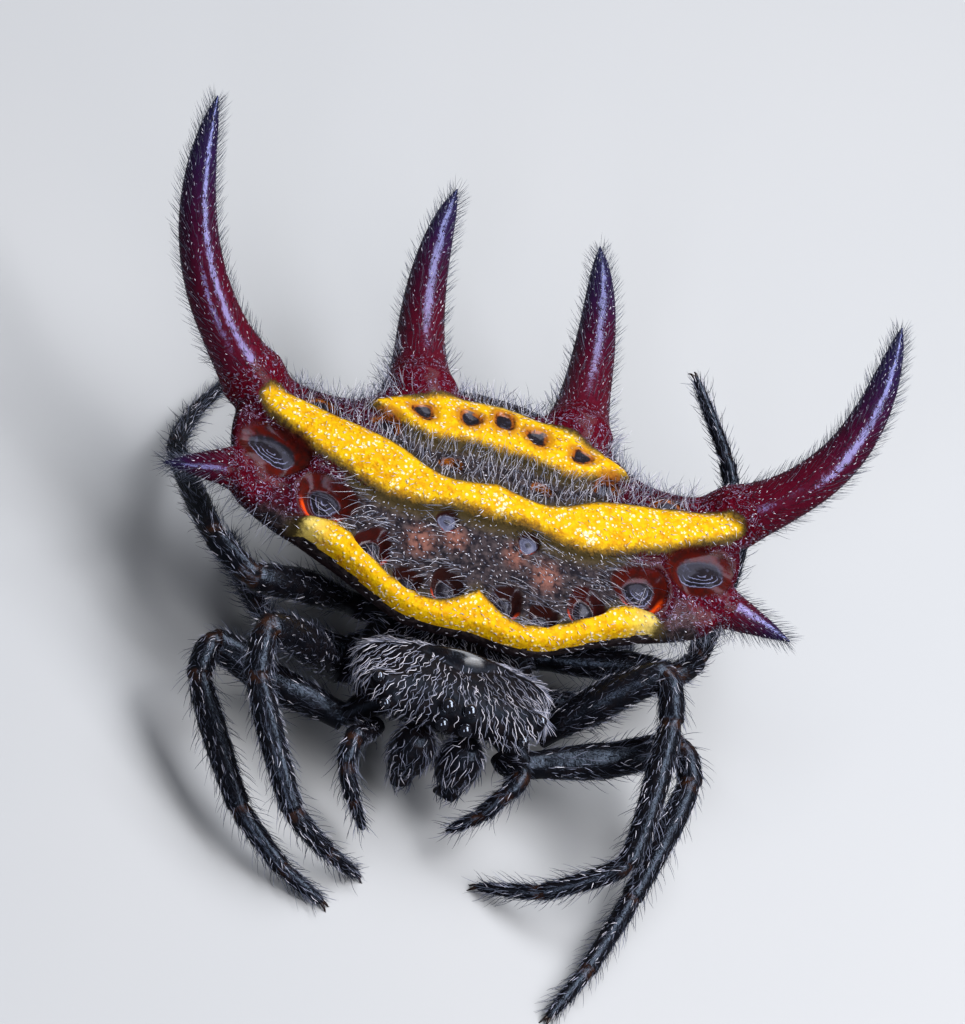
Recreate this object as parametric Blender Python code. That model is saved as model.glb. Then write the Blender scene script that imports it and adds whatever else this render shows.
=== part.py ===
"""A spiny orb weaver with curved horns, at life size, standing on the floor.

The spider's own frame: X to its left, Y to its rear, Z up, with the floor at Z = 0. Sizes are
in millimetres and become metres when a mesh is made. The front of the animal faces -Y.
"""
import bmesh
import bpy
import numpy as np
from mathutils import Vector

# Driving dimensions, in millimetres
MM = 0.001
GAP = 0.3                       # clearance between pieces that meet
CENTRE = (0.0, -1.40)           # middle of the outer box on the floor, which becomes the origin

# Shield of the abdomen
SHIELD_SIDE = 5.75              # half of its width between the horns
SHIELD_BULGE = 0.12             # how far its sides bow out
RIM_FRONT_Z = 3.60              # height of the rim's top edge in front
RIM_REAR_Z = 4.15               # the same from the middle to the rear
CROWN = 0.45                    # rise of the middle over the rim
CROWN_REACH = (6.3, 3.45, 3.3)  # where the crown ends: sideways, to the front, to the rear
WALL = 0.72                     # height of the rim's wall
RIM_ROLL = 0.13                 # how far the wall bows out under the edge
SHIELD_GRID = (57, 27)          # points across and along its upper and lower faces
BAND_RISE = 0.30                # a yellow ridge over the dark skin
BELLY_DROP = 2.05               # depth of the ventral cone
BELLY_AT = 1.10                 # its middle, behind the origin
BELLY_REACH = (2.3, 1.75)       # its reach sideways, and fore and aft

# Outline of the shield, as distance from the middle line and place along Y
FRONT_EDGE = [(0, -3.52), (1.0, -3.60), (1.6, -3.52), (2.1, -3.28), (2.9, -2.84),
              (4.1, -2.30), (5.2, -1.85), (5.9, -1.40)]
REAR_EDGE = [(0, 2.85), (1.0, 2.82), (1.85, 2.74), (2.6, 2.16), (3.15, 1.62),
             (3.8, 1.42), (4.5, 1.52), (5.2, 1.78), (5.9, 1.86)]

# Edges of the three yellow bands, written the same way
MAIN_BAND_FRONT = [(0, -1.10), (0.6, -1.06), (1.75, -1.20), (2.4, -1.15), (3.0, -0.96),
                   (3.5, -0.72), (4.1, -0.50), (4.9, -0.02), (5.5, 0.30), (6.05, 0.52)]
MAIN_BAND_REAR = [(0, -0.14), (0.6, -0.27), (1.1, -0.31), (1.65, -0.15), (2.35, 0.24),
                  (3.1, 0.50), (3.9, 0.70), (4.6, 0.90), (5.3, 0.96), (6.05, 0.66)]
FRONT_BAND_REAR = [(0, -2.68), (0.25, -2.87), (0.6, -3.08), (1.1, -3.17), (1.5, -3.10),
                   (1.9, -2.95), (2.5, -2.60), (3.2, -2.10), (4.2, -2.05)]
FRONT_BAND_TIP = 4.2
REAR_BAND_FRONT = [(0, 0.76), (0.6, 0.80), (1.2, 0.70), (1.6, 0.65), (2.4, 0.95), (3.1, 1.25)]
REAR_BAND_REAR = [(0, 2.42), (1.0, 2.25), (1.6, 2.00), (2.1, 1.80), (2.5, 1.75), (3.1, 1.35)]
REAR_BAND_TIP = 3.1

# Sigilla, the pits over the muscles: distance from the middle line, place along Y,
# half lengths across and along, and turn in degrees
SIGILLA = [(5.02, -0.58, 0.80, 0.58, 15), (3.66, -1.44, 0.66, 0.54, 20),
           (2.46, -2.28, 0.42, 0.40, 0), (1.57, -2.84, 0.32, 0.30, 0),
           (0.69, -2.72, 0.36, 0.34, 0), (0.94, -1.30, 0.24, 0.22, 0),
           (1.05, 0.14, 0.27, 0.20, 0), (2.58, 0.86, 0.36, 0.22, 20),
           (4.05, 0.98, 0.42, 0.20, 15), (0.0, 1.72, 0.26, 0.28, 0),
           (0.78, 1.51, 0.27, 0.26, 0), (1.86, 1.34, 0.28, 0.22, 25)]
PIT_DEPTH = 0.26
PIT_FLOOR = 0.12                # rise of the plate inside a pit

# Swellings of the shield where a spine grows from it: distance from the middle line, place
# along Y, reach and rise
SWELLINGS = [(5.40, 1.15, 0.95, 0.14), (1.85, 2.40, 0.85, 0.15), (5.45, -0.95, 0.70, 0.05)]

# Spines: control points of the left one's middle line, how far the right one's tip is off
# its mirror image, radius along it, and where it is parted from the shield
LONG_HORN = dict(
    line=[(5.70, 1.33, 4.15), (7.40, 1.45, 5.80), (8.22, 3.10, 6.10), (8.17, 5.20, 7.95)],
    skew=(0.0, -0.20, -0.22), parted=0.10, rings=17, sides=14,
    radius=[(0, 0.74), (0.07, 0.64), (0.16, 0.56), (0.35, 0.50), (0.55, 0.45), (0.72, 0.38),
            (0.86, 0.27), (0.95, 0.14), (1, 0.035)])
REAR_SPINE = dict(
    line=[(1.85, 2.50, 3.95), (2.08, 4.55, 3.98), (2.18, 6.15, 4.35), (1.79, 7.95, 4.95)],
    skew=(0.0, -0.10, -0.13), parted=0.10, rings=12, sides=12,
    radius=[(0, 0.84), (0.1, 0.68), (0.2, 0.59), (0.32, 0.53), (0.46, 0.48), (0.62, 0.41),
            (0.8, 0.30), (0.92, 0.17), (1, 0.035)])
FRONT_SPINE = dict(
    line=[(5.50, -0.95, 3.62), (6.10, -1.08, 3.64), (6.65, -1.25, 3.64), (7.25, -1.42, 3.62)],
    skew=(0.0, -0.15, 0.15), parted=0.26, rings=7, sides=10,
    radius=[(0, 0.56), (0.25, 0.42), (0.5, 0.30), (0.75, 0.18), (1, 0.035)])
SPINE_ROOT = 0.9                # how far a spine's root reaches back into the shield
ROOT_SHAPE = [(-1.0, 0.40), (-0.75, 0.72), (-0.5, 0.92), (-0.25, 1.0), (0, 1.0)]

# Prosoma: the cross-sections of the carapace and sternum along Y
PROSOMA_Y = [-5.86, -5.76, -5.55, -5.25, -4.95, -4.65, -4.35, -4.12, -3.9, -3.6, -3.2,
             -2.8, -2.3, -1.8, -1.5]
PROSOMA_TOP = [(-5.86, 3.00), (-5.7, 3.22), (-5.4, 3.36), (-4.9, 3.34), (-4.4, 3.28),
               (-4.15, 3.30), (-3.92, 3.02), (-3.6, 2.62), (-2.4, 2.34), (-1.5, 2.10)]
PROSOMA_WIDE = [(-5.86, 1.25), (-5.7, 1.66), (-5.4, 1.95), (-4.9, 2.12), (-4.3, 2.20),
                (-3.6, 2.14), (-2.8, 1.95), (-2.2, 1.60), (-1.7, 1.05), (-1.5, 0.70)]
PROSOMA_LOW = [(-5.86, 2.62), (-5.25, 2.52), (-5.0, 2.0), (-4.7, 1.22), (-4.0, 1.08),
               (-2.4, 1.10), (-1.5, 1.62)]
PROSOMA_MID_Z = 2.45            # height of the carapace's edge
PROSOMA_SQUARE = 0.78           # below 1, fuller corners than an ellipse
EYE_MOUND = (1.80, -5.55, 0.36, 0.15)   # a side eye tubercle: x, y, reach, rise

# Eyes: distance from the middle line, place along Y, height and radius. They are smaller than
# GAP, so each sits about 0.07 over the carapace.
EYES = {"eye_rear_median": (0.25, -5.72, 3.30, 0.16),
        "eye_front_median": (0.26, -5.96, 2.92, 0.15),
        "eye_rear_side": (1.86, -5.42, 3.28, 0.12),
        "eye_front_side": (1.58, -5.86, 2.98, 0.12)}
EYE_FACING = {"eye_rear_median": (0.12, -0.55, 0.85),
              "eye_front_median": (0.10, -0.95, 0.30),
              "eye_rear_side": (0.60, -0.20, 0.78),
              "eye_front_side": (0.45, -0.85, 0.30)}

# Mouthparts of the left side
CHELICERA = dict(at=(0.60, -5.74, 1.60), size=(0.45, 0.54, 0.70))
FANG = dict(points=[(0.66, -5.90, 1.20), (0.56, -6.04, 0.90), (0.36, -5.90, 0.70)],
            radii=[0.28, 0.23, 0.06])
PALPS = {"left": [(1.50, -5.56, 1.75), (1.86, -6.05, 2.08), (1.62, -6.45, 1.90),
                  (1.22, -6.80, 1.36), (0.62, -7.05, 0.82)],
         "right": [(-1.50, -5.56, 1.70), (-1.95, -6.25, 2.08), (-2.00, -6.75, 1.80),
                   (-1.62, -7.15, 1.20), (-1.16, -7.45, 0.62)]}
PALP_RADII = [0.25, 0.27, 0.26, 0.25, 0.15]

# Pedicel and spinnerets
PEDICEL = dict(start=(0, -1.20, 1.86), end=(0, -0.86, 1.93), radius=0.32)
SPINNERETS = dict(at=(0, 1.25, 0.82), radius=0.44, length=0.42)

# Legs: hip, knee, end of patella, end of tibia, end of metatarsus and tip of each
LEGS = {
    "leg_1_left": [(2.45, -4.98, 1.42), (5.42, -4.02, 2.06), (5.74, -4.76, 1.88),
                   (4.97, -7.36, 0.70), (4.18, -9.40, 0.36), (3.47, -10.74, 0.12)],
    "leg_2_left": [(2.62, -3.98, 1.62), (4.50, -3.32, 3.46), (4.81, -4.32, 3.18),
                   (4.48, -7.36, 1.78), (2.90, -7.95, 0.78), (1.60, -7.75, 0.14)],
    "leg_3_left": [(2.52, -2.98, 1.22), (3.75, -2.85, 1.18), (4.10, -2.30, 1.18),
                   (4.45, -1.20, 0.72), (4.55, -0.30, 0.34), (4.55, 0.55, 0.12)],
    "leg_4_left": [(2.42, -1.98, 1.55), (5.05, -2.10, 2.22), (5.60, -1.40, 2.14),
                   (6.35, 2.20, 2.40), (5.75, 3.95, 3.10), (4.58, 5.50, 3.95)],
    "leg_1_right": [(-2.45, -4.98, 1.30), (-5.25, -4.52, 1.86), (-5.42, -5.45, 1.72),
                    (-4.02, -8.05, 0.98), (-2.80, -8.92, 0.44), (-1.75, -9.30, 0.12)],
    "leg_2_right": [(-2.62, -3.98, 1.62), (-4.45, -5.12, 3.42), (-4.44, -6.10, 3.02),
                    (-3.00, -8.30, 1.65), (-1.95, -8.45, 0.80), (-1.05, -8.33, 0.14)],
    "leg_3_right": [(-2.52, -2.98, 1.15), (-3.70, -2.95, 1.06), (-4.10, -2.45, 1.00),
                    (-4.60, -1.40, 0.72), (-4.80, -0.50, 0.34), (-4.90, 0.35, 0.12)],
    "leg_4_right": [(-2.42, -1.98, 1.55), (-4.80, -3.15, 2.80), (-5.72, -2.38, 2.80),
                    (-6.65, 1.20, 1.45), (-6.20, 3.30, 0.55), (-5.50, 4.90, 0.12)]}
FEMUR_ARCH = {"leg_1": -0.12, "leg_2": 0.25, "leg_3": 0.0, "leg_4": 0.12}   # bow of a femur
LEG_SIZE = {"leg_1": 1.0, "leg_2": 1.0, "leg_3": 0.82, "leg_4": 0.94}
LEG_RADIUS = [(0, 0.32), (0.35, 0.43), (0.8, 0.40), (1, 0.34), (1.4, 0.34), (2, 0.31),
              (2.4, 0.33), (3, 0.27), (3.6, 0.26), (4, 0.26), (4.6, 0.25), (5, 0.13)]
LEG_LEAST = [(0, 0.25), (4.6, 0.25), (5, 0.10)]     # no leg's radius is under this
COXA_RADIUS = 0.32
COXA_ROOT = 1.35                # distance of a coxa's inner end from the middle line
LEG_SIDES = 9
LEG_STEP = 0.42                 # length of one ring of a leg
JOINT_REACH = 0.42              # a joint's cut is kept clear of rings for this far

# Finishes: colour, roughness and metallic value
FINISHES = {"cuticle_black": ((0.012, 0.012, 0.015), 0.30, 0.0),
            "shield_black": ((0.030, 0.026, 0.030), 0.55, 0.0),
            "horn_red": ((0.110, 0.004, 0.010), 0.25, 0.0),
            "eye_dark": ((0.004, 0.004, 0.006), 0.08, 0.0)}


def finish(name):
    """The named material, made the first time that it is asked for."""
    material = bpy.data.materials.get(name)
    if material is None:
        colour, roughness, metallic = FINISHES[name]
        material = bpy.data.materials.new(name)
        material.use_nodes = True
        shader = material.node_tree.nodes["Principled BSDF"]
        shader.inputs["Base Color"].default_value = (*colour, 1)
        shader.inputs["Roughness"].default_value = roughness
        shader.inputs["Metallic"].default_value = metallic
    return material


def make(name, points, faces, material):
    """One object whose mesh is given in the spider's frame, in millimetres."""
    middle = np.array([*CENTRE, 0.0])
    mesh = bpy.data.meshes.new(name)
    mesh.from_pydata([tuple((np.array(p) - middle) * MM) for p in points], [], faces)
    mesh.validate()
    shape = bmesh.new()
    shape.from_mesh(mesh)
    bmesh.ops.recalc_face_normals(shape, faces=shape.faces)
    shape.to_mesh(mesh)
    shape.free()
    mesh.shade_smooth()
    mesh.materials.append(finish(material))
    obj = bpy.data.objects.new(name, mesh)
    bpy.context.scene.collection.objects.link(obj)
    return obj


def along(points, where):
    """Values read off a list of (place, value) pairs, eased so that no corner shows."""
    places = np.array([p[0] for p in points], float)
    values = np.array([p[1] for p in points], float)
    slopes = np.gradient(values, places)
    where = np.clip(where, places[0], places[-1])
    k = np.clip(np.searchsorted(places, where) - 1, 0, len(places) - 2)
    span = places[k + 1] - places[k]
    t = (where - places[k]) / span
    return ((2 * t**3 - 3 * t**2 + 1) * values[k] + (t**3 - 2 * t**2 + t) * span * slopes[k]
            + (3 * t**2 - 2 * t**3) * values[k + 1] + (t**3 - t**2) * span * slopes[k + 1])


def bezier(controls, where):
    """Points of a cubic curve for values of `where`, which may run below 0 to lead in."""
    p = np.array(controls, float)
    t = np.asarray(where, float)[:, None]
    inside = np.clip(t, 0, None)
    curve = ((1 - inside)**3 * p[0] + 3 * (1 - inside)**2 * inside * p[1]
             + 3 * (1 - inside) * inside**2 * p[2] + inside**3 * p[3])
    return curve + np.minimum(t, 0) * 3 * (p[1] - p[0])


def through(points, step):
    """A smooth line through the points, and each ring's place in units of points."""
    p = [np.array(q, float) for q in points]
    p = [2 * p[0] - p[1]] + p + [2 * p[-1] - p[-2]]
    line, places = [], []
    for k in range(1, len(p) - 2):
        a, b, c, d = p[k - 1:k + 3]
        count = max(2, round(float(np.linalg.norm(c - b)) / step))
        lean = 0.5 * np.linalg.norm(c - b)
        start = lean * (c - a) / np.linalg.norm(c - a)
        end = lean * (d - b) / np.linalg.norm(d - b)
        for i in range(count + (k == len(p) - 3)):
            t = i / count
            line.append((2 * t**3 - 3 * t**2 + 1) * b + (t**3 - 2 * t**2 + t) * start
                        + (3 * t**2 - 2 * t**3) * c + (t**3 - t**2) * end)
            places.append(k - 1 + t)
    return np.array(line), np.array(places)


def sweep(line, radii, sides, first=None, last=None):
    """Points and faces of a closed round rod along a line, with flat ends.

    `first` and `last`, where given, are the directions that its end faces are square to.
    """
    line = np.array(line, float)
    ways = np.gradient(line, axis=0)
    if first is not None:
        ways[0] = first
    if last is not None:
        ways[-1] = last
    ways /= np.linalg.norm(ways, axis=1)[:, None]
    across = np.cross(ways[0], (0.31, 0.17, 0.93))
    points, faces = [], []
    for centre, way, radius in zip(line, ways, radii):
        across = across - way * np.dot(across, way)
        across /= np.linalg.norm(across)
        other = np.cross(way, across)
        for k in range(sides):
            angle = 2 * np.pi * k / sides
            points.append(centre + radius * (np.cos(angle) * across + np.sin(angle) * other))
    for i in range(len(line) - 1):
        for k in range(sides):
            a, b = i * sides + k, i * sides + (k + 1) % sides
            faces.append((a, b, b + sides, a + sides))
    faces.append(tuple(range(sides - 1, -1, -1)))
    faces.append(tuple(range(len(points) - sides, len(points))))
    return points, faces


def keep_largest(obj):
    """Drop every loose scrap of a mesh but its largest closed surface."""
    shape = bmesh.new()
    shape.from_mesh(obj.data)
    left = set(shape.verts)
    pieces = []
    while left:
        piece, front = set(), [left.pop()]
        while front:
            vertex = front.pop()
            piece.add(vertex)
            for edge in vertex.link_edges:
                other = edge.other_vert(vertex)
                if other in left:
                    left.remove(other)
                    front.append(other)
        pieces.append(piece)
    pieces.sort(key=len)
    scraps = [v for piece in pieces[:-1] for v in piece]
    bmesh.ops.delete(shape, geom=scraps, context="VERTS")
    shape.to_mesh(obj.data)
    shape.free()


def fuse(body, parts, solver="EXACT"):
    """Join the parts to the body as one closed solid."""
    group = bpy.data.collections.new(body.name + "_parts")
    for part in parts:
        group.objects.link(part)
    union = body.modifiers.new("union", "BOOLEAN")
    union.operation = "UNION"
    union.operand_type = "COLLECTION"
    union.collection = group
    union.solver = solver
    bpy.context.view_layer.update()
    joined = bpy.data.meshes.new_from_object(body.evaluated_get(
        bpy.context.evaluated_depsgraph_get()))
    body.modifiers.clear()
    body.data = joined
    for part in parts:
        bpy.data.objects.remove(part)
    bpy.data.collections.remove(group)
    keep_largest(body)
    return body


def crown(x, y):
    """1 in the middle of the shield, falling to 0 at its rim."""
    front = np.minimum(y, 0) / CROWN_REACH[1]
    rear = np.maximum(y, 0) / CROWN_REACH[2]
    return np.clip(1 - (x / CROWN_REACH[0])**2 - front**2 - rear**2, 0, 1)


def rim_height(y):
    """Height of the rim's top edge at a place along the shield."""
    return RIM_FRONT_Z + (RIM_REAR_Z - RIM_FRONT_Z) * np.clip((y + 3.4) / 3.4, 0, 1)


def ridge(y, front, rear):
    """A rounded ridge between two edges, 1 along its middle."""
    half = np.maximum((rear - front) / 2, 0.05)
    place = (y - (front + rear) / 2) / half
    return np.sqrt(np.clip(1.12 - place**2, 0, 1))


def shield_height(x, y):
    """Height of the abdomen's upper face, with its three ridges and its pits."""
    side = np.abs(x)
    z = rim_height(y) + CROWN * crown(x, y)
    bands = ridge(y, along(MAIN_BAND_FRONT, side), along(MAIN_BAND_REAR, side))
    front = ridge(y, along(FRONT_EDGE, side) - 0.25, along(FRONT_BAND_REAR, side))
    bands = np.maximum(bands, front * (side < FRONT_BAND_TIP))
    rear = ridge(y, along(REAR_BAND_FRONT, side), along(REAR_BAND_REAR, side))
    bands = np.maximum(bands, rear * (side < REAR_BAND_TIP))
    z = z + BAND_RISE * (bands - 0.5)
    for at_x, at_y, long, short, turn in SIGILLA:
        angle = np.radians(turn)
        dx, dy = side - at_x, y - at_y
        across = (dx * np.cos(angle) + dy * np.sin(angle)) / long
        up = (dy * np.cos(angle) - dx * np.sin(angle)) / short
        reach = across**2 + up**2
        z = z - PIT_DEPTH * np.exp(-reach**2) + PIT_FLOOR * np.exp(-(reach / 0.35)**2)
    for at_x, at_y, reach, rise in SWELLINGS:
        z = z + rise * np.exp(-((side - at_x)**2 + (y - at_y)**2) / reach**2)
    return z


def belly_height(x, y):
    """Height of the abdomen's lower face, with the ventral cone under its middle."""
    reach = (x / BELLY_REACH[0])**2 + ((y - BELLY_AT) / BELLY_REACH[1])**2
    return (rim_height(y) - WALL - 0.22 * crown(x, y) - BELLY_DROP * np.exp(-reach**2))


def make_shield():
    """The abdomen without its spines: an upper face, a rolled rim and a lower face."""
    columns, rows = SHIELD_GRID
    across = np.linspace(-1, 1, columns)[None, :]
    back = np.linspace(0, 1, rows)[:, None]
    x = across * (SHIELD_SIDE + SHIELD_BULGE * np.sin(np.pi * back))
    front, rear = along(FRONT_EDGE, np.abs(x)), along(REAR_EDGE, np.abs(x))
    y = front + (rear - front) * back
    top = np.stack([x, y, shield_height(x, y)], -1)
    inset_x, inset_y = x * 0.975, y * 0.96
    low = np.stack([inset_x, inset_y, belly_height(inset_x, inset_y)], -1)
    ring = ([(0, j) for j in range(columns)] + [(i, columns - 1) for i in range(1, rows)]
            + [(rows - 1, j) for j in range(columns - 2, -1, -1)]
            + [(i, 0) for i in range(rows - 2, 0, -1)])
    upper = np.array([top[i, j] for i, j in ring])
    lower = np.array([low[i, j] for i, j in ring])
    way = np.roll(upper, -1, 0) - np.roll(upper, 1, 0)
    out = np.stack([way[:, 1], -way[:, 0], 0 * way[:, 0]], -1)
    out /= np.linalg.norm(out, axis=1)[:, None]
    points = list(top.reshape(-1, 3)) + list(low.reshape(-1, 3))
    faces = []
    for base, turn in ((0, 1), (rows * columns, -1)):
        for i in range(rows - 1):
            for j in range(columns - 1):
                a = base + i * columns + j
                faces.append((a, a + 1, a + columns + 1, a + columns)[::turn])
    loops = [[i * columns + j for i, j in ring]]
    for depth, bow in ((0.22, 0.75), (0.55, 1.0), (0.85, 0.5)):
        loops.append(list(range(len(points), len(points) + len(ring))))
        points += list(upper * (1 - depth) + lower * depth + out * RIM_ROLL * bow)
    loops.append([rows * columns + i * columns + j for i, j in ring])
    for one, two in zip(loops, loops[1:]):
        for k in range(len(ring)):
            m = (k + 1) % len(ring)
            faces.append((one[m], one[k], two[k], two[m]))
    return make("abdomen", points, faces, "shield_black")


def spine_line(spine, side, where):
    """Points along a spine's middle, for its left (+1) or right (-1) side."""
    line = bezier(spine["line"], where)
    bend = np.clip(where, 0, 1)[:, None]**2 * np.array(spine["skew"])
    line = line + bend * side
    return line * np.array([side, 1, 1])


def make_spines(name, spine):
    """Both spines of a pair, and the two roots that the shield keeps."""
    length = float(np.linalg.norm(np.diff(spine_line(spine, 1, np.linspace(0, 1, 30)),
                                          axis=0), axis=1).sum())
    slit = GAP / length
    roots = []
    for word, side in (("left", 1), ("right", -1)):
        cut = spine_line(spine, side, np.array([spine["parted"], spine["parted"] + slit]))
        square = cut[1] - cut[0]
        where = np.linspace(spine["parted"] + slit, 1, spine["rings"])
        points, faces = sweep(spine_line(spine, side, where), along(spine["radius"], where),
                              spine["sides"], first=square)
        make(f"{name}_{word}", points, faces, "horn_red")
        inside = np.array([place for place, _ in ROOT_SHAPE]) * SPINE_ROOT / length
        where = np.concatenate([inside, np.array([1, 2, 3]) / 3 * spine["parted"]])
        radii = along(spine["radius"], where)
        radii[:len(ROOT_SHAPE)] *= [share for _, share in ROOT_SHAPE]
        points, faces = sweep(spine_line(spine, side, where), radii, 2 * spine["sides"],
                              last=square)
        roots.append(make(f"root_{name}_{word}", points, faces, "shield_black"))
    return roots


def make_abdomen():
    """The shield with the roots of its spines, the spinnerets and the pedicel."""
    shield = make_shield()
    roots = []
    for name, spine in (("horn", LONG_HORN), ("rear_spine", REAR_SPINE),
                        ("front_spine", FRONT_SPINE)):
        roots += make_spines(name, spine)
    fuse(shield, roots)
    cone = SPINNERETS
    line = [np.array(cone["at"]) - (0, 0, cone["length"] * t) for t in (0, 0.3, 0.7, 1)]
    radii = [cone["radius"] * k for k in (1, 0.95, 0.72, 0.42)]
    points, faces = sweep(line, radii, 12)
    make("spinnerets", points, faces, "cuticle_black")
    line = np.linspace(PEDICEL["start"], PEDICEL["end"], 3)
    points, faces = sweep(line, [PEDICEL["radius"]] * 3, 12)
    make("pedicel", points, faces, "cuticle_black")


def prosoma_point(y, angle):
    """A point on the skin of the prosoma, `angle` running from its left side over the top."""
    wide, top, low = along(PROSOMA_WIDE, y), along(PROSOMA_TOP, y), along(PROSOMA_LOW, y)
    mid = min(PROSOMA_MID_Z, 0.5 * (top + low)) if low < 2 else 0.5 * (top + low)
    c, s = np.cos(angle), np.sin(angle)
    x = wide * np.sign(c) * abs(c)**PROSOMA_SQUARE
    if s > 0:
        z = mid + (top - mid) * s**PROSOMA_SQUARE
    else:
        x *= 1 - 0.25 * s * s
        z = mid - (mid - low) * abs(s)**PROSOMA_SQUARE
    at_x, at_y, reach, rise = EYE_MOUND
    bump = rise * np.exp(-((abs(x) - at_x)**2 + (y - at_y)**2) / reach**2) * max(s, 0)
    return np.array([x + np.sign(c) * bump, y - 0.4 * bump, z + bump])


def make_prosoma():
    """The carapace and sternum in one, with the coxae of all eight legs."""
    around = 28
    points, faces = [], []
    for y in PROSOMA_Y:
        for k in range(around):
            points.append(prosoma_point(y, 2 * np.pi * (k + 0.5) / around))
    for i in range(len(PROSOMA_Y) - 1):
        for k in range(around):
            a, b = i * around + k, i * around + (k + 1) % around
            faces.append((a, b, b + around, a + around))
    for ring in (0, len(PROSOMA_Y) - 1):
        middle = np.mean(points[ring * around:(ring + 1) * around], axis=0)
        points.append(middle + (0, -0.05 if ring == 0 else 0.05, 0))
        for k in range(around):
            faces.append((len(points) - 1, ring * around + k, ring * around + (k + 1) % around))
    body = make("prosoma", points, faces, "cuticle_black")
    coxae = []
    for name in LEGS:
        line, places = leg_line(name)
        hip, way = line[0], (line[1] - line[0]) / np.linalg.norm(line[1] - line[0])
        inner = np.array([np.sign(hip[0]) * COXA_ROOT, hip[1] * 0.82 - 0.62, 1.75])
        end = hip - GAP * way
        line = [inner, inner * 0.4 + end * 0.6, end]
        points, faces = sweep(line, [0.30, COXA_RADIUS, COXA_RADIUS], 12, last=way)
        coxae.append(make("coxa_" + name, points, faces, "cuticle_black"))
    return fuse(body, coxae)


def make_eyes():
    """Domes a hair's breadth over the carapace, where a real eye is set in it."""
    for name, (x, y, z, radius) in EYES.items():
        for word, side in (("left", 1), ("right", -1)):
            facing = Vector(EYE_FACING[name])
            facing.x *= side
            turn = facing.to_track_quat("Z", "Y").to_matrix()
            points, faces = [], []
            sides, rings = 10, 3
            for i in range(rings):
                tilt = 0.5 * np.pi * i / rings
                for k in range(sides):
                    angle = 2 * np.pi * k / sides
                    spot = Vector((np.cos(tilt) * np.cos(angle),
                                   np.cos(tilt) * np.sin(angle), np.sin(tilt)))
                    points.append(Vector((side * x, y, z)) + turn @ (spot * radius))
            points.append(Vector((side * x, y, z)) + turn @ Vector((0, 0, radius)))
            for i in range(rings - 1):
                for k in range(sides):
                    a, b = i * sides + k, i * sides + (k + 1) % sides
                    faces.append((a, b, b + sides, a + sides))
            for k in range(sides):
                faces.append(((rings - 1) * sides + k, (rings - 1) * sides + (k + 1) % sides,
                              len(points) - 1))
            faces.append(tuple(range(sides - 1, -1, -1)))
            make(f"{name}_{word}", points, faces, "eye_dark")


def make_mouthparts():
    """A chelicera with its fang and a palp on each side of the mouth."""
    for word, side in (("left", 1), ("right", -1)):
        flip = np.array([side, 1, 1])
        at, size = np.array(CHELICERA["at"]), np.array(CHELICERA["size"])
        heights = np.array([0.96, 0.80, 0.45, 0.0, -0.45, -0.80, -0.96])
        points, faces = [], []
        sides = 14
        for height in heights:
            girth = np.sqrt(1 - height**2)**0.75
            for k in range(sides):
                angle = 2 * np.pi * k / sides
                spot = np.array([girth * np.cos(angle), girth * np.sin(angle), height])
                points.append((at + spot * size) * flip)
        for i in range(len(heights) - 1):
            for k in range(sides):
                a, b = i * sides + k, i * sides + (k + 1) % sides
                faces.append((a, b, b + sides, a + sides))
        faces.append(tuple(range(sides)))
        faces.append(tuple(range(len(points) - sides, len(points))))
        basal = make(f"chelicera_{word}", points, faces, "cuticle_black")
        line = [np.array(p) * flip for p in FANG["points"]]
        points, faces = sweep(line, FANG["radii"], 8)
        fuse(basal, [make("fang", points, faces, "cuticle_black")])
        line, places = through(PALPS[word], 0.30)
        radii = np.interp(places, range(len(PALP_RADII)), PALP_RADII)
        points, faces = sweep(line, radii, 9)
        make(f"palp_{word}", points, faces, "cuticle_black")


def leg_line(name):
    """The middle line of a leg, and each ring's place in units of its joints."""
    joints = [np.array(p, float) for p in LEGS[name]]
    middle = 0.5 * (joints[0] + joints[1]) + (0, 0, FEMUR_ARCH[name[:5]])
    line, places = through([joints[0], middle] + joints[1:], LEG_STEP)
    return line, np.where(places < 2, places / 2, places - 1)


def make_leg(name):
    """A leg modelled whole and parted at the knee and the ankle by thin cuts."""
    line, places = leg_line(name)
    radii = np.maximum(np.interp(places, *zip(*LEG_RADIUS)) * LEG_SIZE[name[:5]],
                       np.interp(places, *zip(*LEG_LEAST)))
    travel = np.concatenate([[0], np.cumsum(np.linalg.norm(np.diff(line, axis=0), axis=1))])

    def at(stops):
        return np.stack([np.interp(stops, travel, line[:, k]) for k in range(3)], -1)

    cuts = []
    for joint in (1, 3):
        place = np.interp(joint, places, travel)
        ways = at([place - JOINT_REACH, place + JOINT_REACH])
        square = (ways[1] - ways[0]) / np.linalg.norm(ways[1] - ways[0])
        cuts.append((place, at([place])[0], square))
    knee, ankle = cuts
    spans = {"thigh": (None, knee), "shank": (knee, ankle), "foot": (ankle, None)}
    for part, (before, after) in spans.items():
        start = before[0] + JOINT_REACH if before else 0.12
        end = after[0] - JOINT_REACH if after else travel[-1] - 0.12
        inner = travel[(travel > start) & (travel < end)]
        piece, girth = list(at(inner)), list(np.interp(inner, travel, radii))
        if before:
            piece.insert(0, before[1] + before[2] * GAP / 2)
            girth.insert(0, np.interp(before[0], travel, radii))
        else:
            piece.insert(0, line[0])
            girth.insert(0, radii[0])
        if after:
            piece.append(after[1] - after[2] * GAP / 2)
            girth.append(np.interp(after[0], travel, radii))
        else:
            piece.append(line[-1])
            girth.append(radii[-1])
        points, faces = sweep(piece, girth, LEG_SIDES, first=before[2] if before else None,
                              last=after[2] if after else None)
        if part == "foot":
            points = [np.array([p[0], p[1], max(p[2], 0.0)]) for p in points]
        make(f"{name}_{part}", points, faces, "cuticle_black")


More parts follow.
